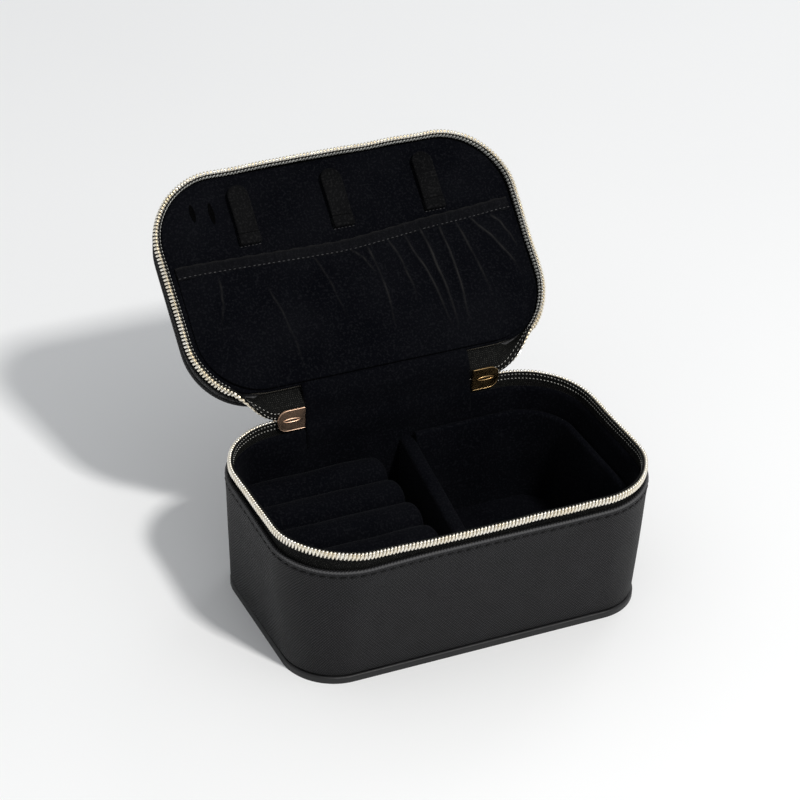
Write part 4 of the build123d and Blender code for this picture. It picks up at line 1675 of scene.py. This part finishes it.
@dataclass(frozen=True)
class Crease:
    """One soft fold of the pocket's velvet, between two places on the shut lid."""

    start: tuple[float, float]
    end: tuple[float, float]
    rise: float
    width: float

    def beside(self, x: np.ndarray, y: np.ndarray) -> tuple[np.ndarray, np.ndarray]:
        """How far each place is along the fold's straight line, as a share, and beside it."""
        a, b = np.array(self.start), np.array(self.end)
        span = b - a
        along = ((x - a[0]) * span[0] + (y - a[1]) * span[1]) / float(span @ span)
        away = ((x - a[0]) * span[1] - (y - a[1]) * span[0]) / float(np.linalg.norm(span))
        return along, away


@dataclass
class LidPocket:
    """The gathered velvet pocket, its elastic hem and the hem's stitching."""

    rack: FinishRack
    stitches: StitchMaker
    half: float = 74.0
    back: float = 64.5
    lift: float = 1.7
    hem_width: float = 5.5
    bow: float = 1.3
    creases: tuple[Crease, ...] = (
        Crease((24.0, -7.0), (34.0, 36.0), 1.0, 1.5),
        Crease((32.0, -8.0), (36.0, 37.0), 1.2, 1.4),
        Crease((40.5, -7.0), (41.0, 38.0), 1.05, 1.5),
        Crease((55.0, -8.0), (71.0, 19.0), 1.1, 1.6),
        Crease((64.0, -8.5), (73.0, 8.0), 0.9, 1.4),
        Crease((0.0, -5.5), (8.0, 8.0), 0.7, 1.3),
        Crease((7.5, -4.5), (9.0, 32.0), 0.75, 1.6),
        Crease((-39.0, 4.0), (-33.0, 42.0), 0.5, 2.2),
        Crease((-16.0, -5.0), (-10.0, 26.0), 0.45, 2.4),
        Crease((-58.0, -4.0), (-63.0, 16.0), 0.5, 2.2),
        Crease((17.0, -6.0), (22.0, 22.0), 0.6, 1.5),
        Crease((48.0, -8.0), (54.0, 26.0), 0.7, 1.8),
    )

    def mouth(self, x: np.ndarray) -> np.ndarray:
        """Y of the pocket's upper edge at each x."""
        return np.interp(x, [-74, -60, -45, -30, -19, -5, 3, 18, 35, 54, 66, 74],
                         [-11.9, -11.6, -11.2, -10.7, -10.3, -10.0, -10.2, -11.4, -12.9, -13.8, -14.7, -15.4])

    def back_edge(self, x: np.ndarray) -> np.ndarray:
        """Y of the pocket's sewn edge, which follows the panel's corners."""
        radius, straight = CORNER_RADIUS - 6.0, 49.0
        over = np.clip(np.abs(x) - straight, 0, radius)
        return 19.0 + np.sqrt(np.maximum(radius**2 - over**2, 0.0))

    def puff(self, x: np.ndarray, y: np.ndarray) -> np.ndarray:
        """How far the pocket's velvet stands off the panel."""
        low, high = self.mouth(x), self.back_edge(x)
        share = np.clip((y - low) / np.maximum(high - low, 1e-6), 0, 1)
        side = smooth((self.half - np.abs(x)) / 9)
        body = self.lift * side * (0.35 + 0.65 * np.sqrt(np.maximum(1 - share, 0)))
        folds = np.zeros_like(x)
        for crease in self.creases:
            t, away = crease.beside(x, y)
            away = away - self.bow * np.sin(np.clip(t, 0, 1) * math.pi)
            ease = smooth((t + 0.12) / 0.16) * smooth((1.12 - t) / 0.7)
            ridge = np.exp(-((away / crease.width) ** 2)) - 0.45 * np.exp(-(((away - 2.3) / 1.7) ** 2))
            folds += crease.rise * ridge * ease
        gather = np.exp(-share * 7) * 0.28 * np.sin(x * 1.75 + 1.3 * np.sin(x * 0.31))
        return np.maximum(body + folds * 0.8 * side + gather * side, 0.12)

    def crests(self, x: np.ndarray, y: np.ndarray) -> np.ndarray:
        """How close each place is to the crest of a fold, from 0 to 1: the share of painted highlight there."""
        lit = np.zeros_like(x)
        for number, crease in enumerate(self.creases):
            t, away = crease.beside(x, y)
            wander = ripple(t * 30, 7, 0.7, 90.0 + number)
            away = away - (self.bow * np.sin(np.clip(t, 0, 1) * math.pi) + wander)
            ease = smooth((t + 0.05) / 0.1) * smooth((1.05 - t) / 0.6)
            # How strongly the painted highlight shows, varying along each crease.
            wear_and_highlight = 0.62 + ripple(t * 30, 3.5, 0.6, 120.0 + number)
            lit = np.maximum(lit, crease.rise * wear_and_highlight * np.exp(-((away / 0.38) ** 2)) * ease)
        return np.clip(lit, 0, 1)

    def cloth(self) -> Piece:
        """The pocket's body, a sheet sewn down on three sides."""
        xs = np.linspace(-self.half, self.half, 400)
        rows = np.zeros((len(xs), 90, 3))
        for i, x in enumerate(xs):
            y = np.linspace(self.mouth(x) + 3.4, self.back_edge(x), rows.shape[1])
            column = np.full(len(y), x)
            rows[i] = np.column_stack([column, y, self.back - 0.35 - self.puff(column, y)])
        piece = thickened(Skin("pocket_velvet", rows, wrap_across=False).mesh(), CLOTH_THICK)
        flat = places_of(piece.data) / MM
        # Paints the highlight along the crests of the folds.
        set_fold(piece, self.crests(flat[:, 0], flat[:, 1]))
        reshape(piece, swung)
        dress(piece, self.rack.creased_velvet, Body.LID.value, Slot.VELVET, "pocket")
        return piece

    def hem(self) -> Piece:
        """The gathered hem with elastic inside."""
        xs = np.linspace(-self.half, self.half, 260)
        turns = turns_of(22)
        rows = np.zeros((len(xs), len(turns), 3))
        for i, x in enumerate(xs):
            frill = 0.22 * math.sin(x * 1.75 + 1.3 * math.sin(x * 0.31)) + 0.12 * math.sin(x * 3.1)
            side = float(smooth(np.array((self.half - abs(x)) / 6)))
            centre = self.mouth(np.array(x)) + self.hem_width / 2 + 0.15 * math.sin(x * 0.9)
            lift = 0.75 + self.lift * 0.62 * side
            high = 0.75 + 0.3 * side
            rows[i, :, 0] = x
            rows[i, :, 1] = centre + self.hem_width / 2 * np.cos(turns) * (1 + 0.02 * frill)
            rows[i, :, 2] = self.back - lift - (high + frill * side) * np.sin(turns)
        piece = Skin("pocket_hem_velvet", rows, caps=True).mesh()
        flat = places_of(piece.data) / MM
        above = flat[:, 1] - self.mouth(flat[:, 0])
        # Painted highlight along the hem's upper edge, over a slight lightening of the whole hem.
        set_fold(piece, np.clip(0.42 * np.exp(-((above / 0.7) ** 2)) + 0.1, 0, 1))
        reshape(piece, swung)
        return dress(piece, self.rack.creased_velvet, Body.LID.value, Slot.VELVET, "pocket_hem")

    def stitching(self) -> Piece:
        """The hem's row of stitches."""
        xs = np.linspace(self.half - 0.6, -self.half + 0.6, 300)
        y = self.mouth(xs) + self.hem_width - 0.75
        side = smooth((self.half - np.abs(xs)) / 6)
        frill = 0.1 * np.sin(xs * 1.75 + 1.3 * np.sin(xs * 0.31))
        z = self.back - 0.75 - self.lift * 0.62 * side - 0.66 - 0.12 * side - frill
        piece = self.stitches.run("pocket_stitch_row", np.column_stack([xs, y, z]), self.rack.hem_thread,
                                  Pitch=0.0021, Length=0.00125, Width=0.00042, Depth=0.00042, Unevenness=0.3,
                                  Seed=9)
        reshape(piece, swung)
        return dress(piece, self.rack.hem_thread, Body.LID.value, Slot.THREAD, "pocket_stitching")

    def build(self) -> list[Piece]:
        """Makes the hem, its stitching and the pocket's body."""
        hem, row = self.hem(), self.stitching()
        return [self.cloth(), hem, row]


@dataclass
class NecklaceStraps:
    """Three snap straps with the sewn ends they fold from."""

    rack: FinishRack
    stitches: StitchMaker
    centres: tuple[float, float, float] = (-40.0, 1.0, 42.0)
    width: float = 8.8
    free: float = -41.0
    root: float = -20.5
    low: float = 61.9
    high: float = 63.15

    def flap(self, number: int, x: float) -> Piece:
        """One strap, with a round free end and soft edges."""
        half = self.width / 2
        turns = np.linspace(math.pi, 2 * math.pi, 22)
        arc = np.column_stack([x + half * np.cos(turns), self.free + half + half * np.sin(turns)])
        side = np.linspace(self.free + half, self.root, 14)[1:]
        right = np.column_stack([np.full(len(side), x + half), side])
        end = np.column_stack([np.linspace(x + half, x - half, 10)[1:-1], np.full(8, self.root)])
        left = np.column_stack([np.full(len(side), x - half), side[::-1]])
        edge = np.vstack([arc, right, end, left])
        core = np.column_stack([np.full(len(edge), x), np.clip(edge[:, 1], self.free + half, self.root - half)])
        section = [(99.0, self.high), (3.0, self.high)] + rounded_side(self.high, self.low, 0.5)
        section += [(0.95, self.low + 0.02), (1.25, self.low + 0.1), (1.55, self.low + 0.02),
                    (2.6, self.low - 0.1), (99.0, self.low - 0.14)]
        rows = pad_rows(edge, core, section)

        def bow(points: np.ndarray) -> np.ndarray:
            """Arches the strap a little between its snap and its sewn end."""
            share = np.clip((points[..., 1] - self.free) / (self.root - self.free), 0, 1)
            points[..., 2] -= 0.35 * np.sin(share * math.pi)
            return points

        piece = Skin(f"strap_velvet_{number}", swung(bow(rows))).mesh()
        dress(piece, self.rack.strap_velvet, f"strap_{number}", Slot.VELVET, f"strap_{number}")
        return piece

    def anchor(self, number: int, x: float) -> Piece:
        """The sewn end, a small padded block pinched by its seam."""
        half, start, stop = self.width / 2 + 0.1, self.root + 0.08, self.root + 4.6
        corner = 0.4
        right, left, top, foot = x + half - corner, x - half + corner, stop - corner, start + corner
        places = []
        for quarter, (cx, cy) in enumerate(((right, foot), (right, top), (left, top), (left, foot))):
            for turn in np.linspace(0, math.pi / 2, 5) + (quarter - 1) * math.pi / 2:
                places.append((cx + corner * math.cos(turn), cy + corner * math.sin(turn)))
        edge = np.array(places)
        core = np.column_stack([np.clip(edge[:, 0], x - half + 2.2, x + half - 2.2),
                                np.full(len(edge), (start + stop) / 2)])
        section = [(99.0, 64.5), (1.0, 64.5)] + rounded_side(64.5, self.low + 0.02, 0.35)
        section += [(0.9, self.low - 0.1), (1.5, self.low - 0.22), (99.0, self.low - 0.25)]
        piece = Skin(f"strap_end_velvet_{number}", swung(pad_rows(edge, core, section))).mesh()
        dress(piece, self.rack.strap_velvet, Body.LID.value, Slot.VELVET, f"strap_anchor_{number}")
        return piece

    def seam(self, number: int, x: float) -> Piece:
        """The short row of stitches that holds the sewn end."""
        xs = np.linspace(x + self.width / 2 - 0.4, x - self.width / 2 + 0.4, 12)
        path = np.column_stack([xs, np.full(12, self.root + 4.9), np.full(12, self.low + 2.45)])
        piece = self.stitches.run(f"strap_seam_{number}", path, self.rack.hem_thread, Pitch=0.0016,
                                  Length=0.001, Width=0.00036, Depth=0.00036, Seed=30 + number)
        reshape(piece, swung)
        return dress(piece, self.rack.hem_thread, Body.LID.value, Slot.THREAD)

    def build(self) -> list[Piece]:
        """Makes the straps, their sewn ends and seams, and finishes the snaps."""
        pieces = []
        for number, x in enumerate(self.centres, 1):
            pieces += [self.flap(number, x), self.anchor(number, x), self.seam(number, x)]
            paint(f"snap_stud_{number}", self.rack.snap)
            paint(f"snap_socket_{number}", self.rack.snap)
        return pieces


# ---------------------------------------------------------------- sliders
@dataclass
class Sliders:
    """The two sliders and pulls, with a plain grooved oval on each inner plate."""

    rack: FinishRack

    def oval(self, side: str, finish: Material) -> Piece:
        """A raised oval line on a slider's inner plate."""
        low, high = box_mm(f"slider_{side}")
        x = low.x + 5.75 if side == "right" else high.x - 5.75
        z, face = 61.5, low.y
        turns = turns_of(48)
        ring = turns_of(8)
        rows = np.zeros((len(turns), len(ring), 3))
        for j, angle in enumerate(ring):
            reach = 0.22 * math.cos(angle)
            rows[:, j, 0] = x + (3.6 + reach) * np.cos(turns)
            rows[:, j, 1] = face - 0.14 * math.sin(angle)
            rows[:, j, 2] = z + (0.75 + reach) * np.sin(turns)
        piece = Skin(f"slider_oval_{side}", rows, wrap_rows=True).mesh()
        return dress(piece, finish, f"slider_{side}", Slot.GOLD)

    def bead(self, side: str, finish: Material) -> Piece:
        """A fine rounded bead along the upper edge and nose of a slider's inner plate."""
        low, high = box_mm(f"slider_{side}")
        inner = low.x if side == "right" else -high.x
        nose, bend = inner + 11.5, 11.5 / 3
        top, foot, face = high.z, low.z, low.y
        turn = np.linspace(math.pi / 2, -math.pi / 2, 9)
        arc = np.column_stack([nose - bend + bend * np.cos(turn),
                               np.where(turn > 0, top - bend, foot + bend) + bend * np.sin(turn)])
        line = np.vstack([[inner + 0.2, top], [inner + 3.5, top], arc, [inner + 0.2, foot]])
        ring = turns_of(8)
        ahead = np.gradient(line, axis=0)
        across = np.column_stack([ahead[:, 1], -ahead[:, 0]]) / np.linalg.norm(ahead, axis=1)[:, None]
        rows = np.zeros((len(line), len(ring), 3))
        for j, angle in enumerate(ring):
            flat = line - across * (0.16 - 0.2 * math.cos(angle))
            rows[:, j, 0] = flat[:, 0] * (1 if side == "right" else -1)
            rows[:, j, 1] = face + 0.1 - 0.2 * math.sin(angle)
            rows[:, j, 2] = flat[:, 1]
        piece = Skin(f"slider_bead_{side}", rows, caps=True).mesh()
        return dress(piece, finish, f"slider_{side}", Slot.GOLD)

    def build(self) -> list[Piece]:
        """Finishes the sliders and pulls and adds the ovals and beads."""
        pieces = []
        for side, finish in (("left", self.rack.gold_left), ("right", self.rack.gold_right)):
            paint(f"slider_{side}", finish)
            paint(f"pull_{side}", finish)
            pieces += [self.oval(side, finish), self.bead(side, finish)]
        return pieces


# ---------------------------------------------------------------- studio
@dataclass
class Studio:
    """The floor, lights and camera."""

    azimuth: float = -26.22
    elevation: float = 32.87
    roll: float = 2.66
    distance: float = 1.2674
    target: tuple[float, float, float] = (0.02499, 0.08706, 0.03)
    lens: float = 135.0

    def floor(self) -> Piece:
        """A plain pale floor that sweeps off into the distance."""
        reach = np.linspace(-3.0, 3.0, 13) / MM
        rows = np.array([[(x, y, 0.0) for y in reach] for x in reach])
        piece = Skin("studio_floor", rows, wrap_across=False).mesh()
        bench, shader, material = Finish("studio_paper").start(Specular_IOR_Level=0.1, Roughness=0.9)
        place = bench.place()
        cloud = bench.spread(noise_of(bench, place, 3.0), 0.3, 0.7, 0.0, 1.0)
        tone = bench.blend(cloud, (0.90, 0.905, 0.91, 1), (0.885, 0.89, 0.895, 1))
        bench.join(tone, shader, "Base Color")
        piece.data.materials.append(material)
        if sum(face.normal.z for face in piece.data.polygons) < 0:
            piece.data.flip_normals()
        return piece

    def light(self, name: str, place: Sequence[float], aim: Sequence[float], size: float, power: float,
              colour: Sequence[float]) -> None:
        """Adds a square light.

        Args:
            name: The light's name.
            place: Where it stands, in metres.
            aim: What it points at, in metres.
            size: Its side, in metres.
            power: Its power, in watts.
            colour: Its colour.
        """
        data = bpy.data.lights.new(name, "AREA")
        data.size, data.energy, data.color = size, power, colour
        lamp = placed(name, data)
        lamp.location = place
        lamp.rotation_euler = (Vector(aim) - Vector(place)).to_track_quat("-Z", "Y").to_euler()

    def lights(self) -> None:
        """Pale surroundings, a small key light from the front right and a weak one from behind."""
        world = bpy.data.worlds.new("studio_air")
        world.use_nodes = True
        air = world.node_tree.nodes["Background"].inputs
        air["Color"].default_value, air["Strength"].default_value = (0.97, 0.985, 1.0, 1), 0.53
        bpy.context.scene.world = world
        self.light("key", (0.38, -1.13, 1.63), (0.0, 0.05, 0.05), 0.2, 27.0, (1.0, 0.985, 0.96))
        self.light("rim", (1.3, 1.0, 0.9), (0.0, 0.05, 0.08), 0.6, 3.0, (0.97, 0.985, 1.0))
        bpy.context.scene.view_settings.view_transform = "Standard"

    def camera(self) -> None:
        """Sets the camera round the case, with its slight roll."""
        az, el, roll = (math.radians(v) for v in (self.azimuth, self.elevation, self.roll))
        back = Vector((math.sin(az) * math.cos(el), -math.cos(az) * math.cos(el), math.sin(el)))
        right = (-back).cross(Vector((0, 0, 1))).normalized()
        up = right.cross(-back)
        level = right * math.cos(roll) + up * math.sin(roll)
        rise = up * math.cos(roll) - right * math.sin(roll)
        data = bpy.data.cameras.new("camera")
        data.lens, data.sensor_width = self.lens, 36.0
        turned = Matrix((level, rise, back)).transposed().to_4x4()
        turned.translation = Vector(self.target) + back * self.distance
        camera = placed("camera", data)
        camera.matrix_world = turned
        bpy.context.scene.camera = camera

    def build(self) -> None:
        """Sets up the studio."""
        self.floor()
        self.lights()
        self.camera()


def main() -> None:
    """Builds the case in the order it would be sewn, then the studio."""
    logging.basicConfig(level=logging.INFO, format="%(name)s: %(message)s")
    rack = FinishRack()
    coils, stitches = CoilMaker(), StitchMaker()
    makers = [
        BaseShell(rack, stitches), BaseZip(rack, coils, stitches), Compartments(rack),
        RingTray(rack), LidShell(rack, stitches), LidZip(rack, coils, stitches),
        LeatherHinge(rack), LidPocket(rack, stitches), NecklaceStraps(rack, stitches), Sliders(rack),
    ]
    for maker in makers:
        for piece in maker.build():
            LOG.info("%s: %s, %d faces", type(maker).__name__, piece.name, len(piece.data.polygons))
    Studio().build()


if __name__ == "__main__":
    main()
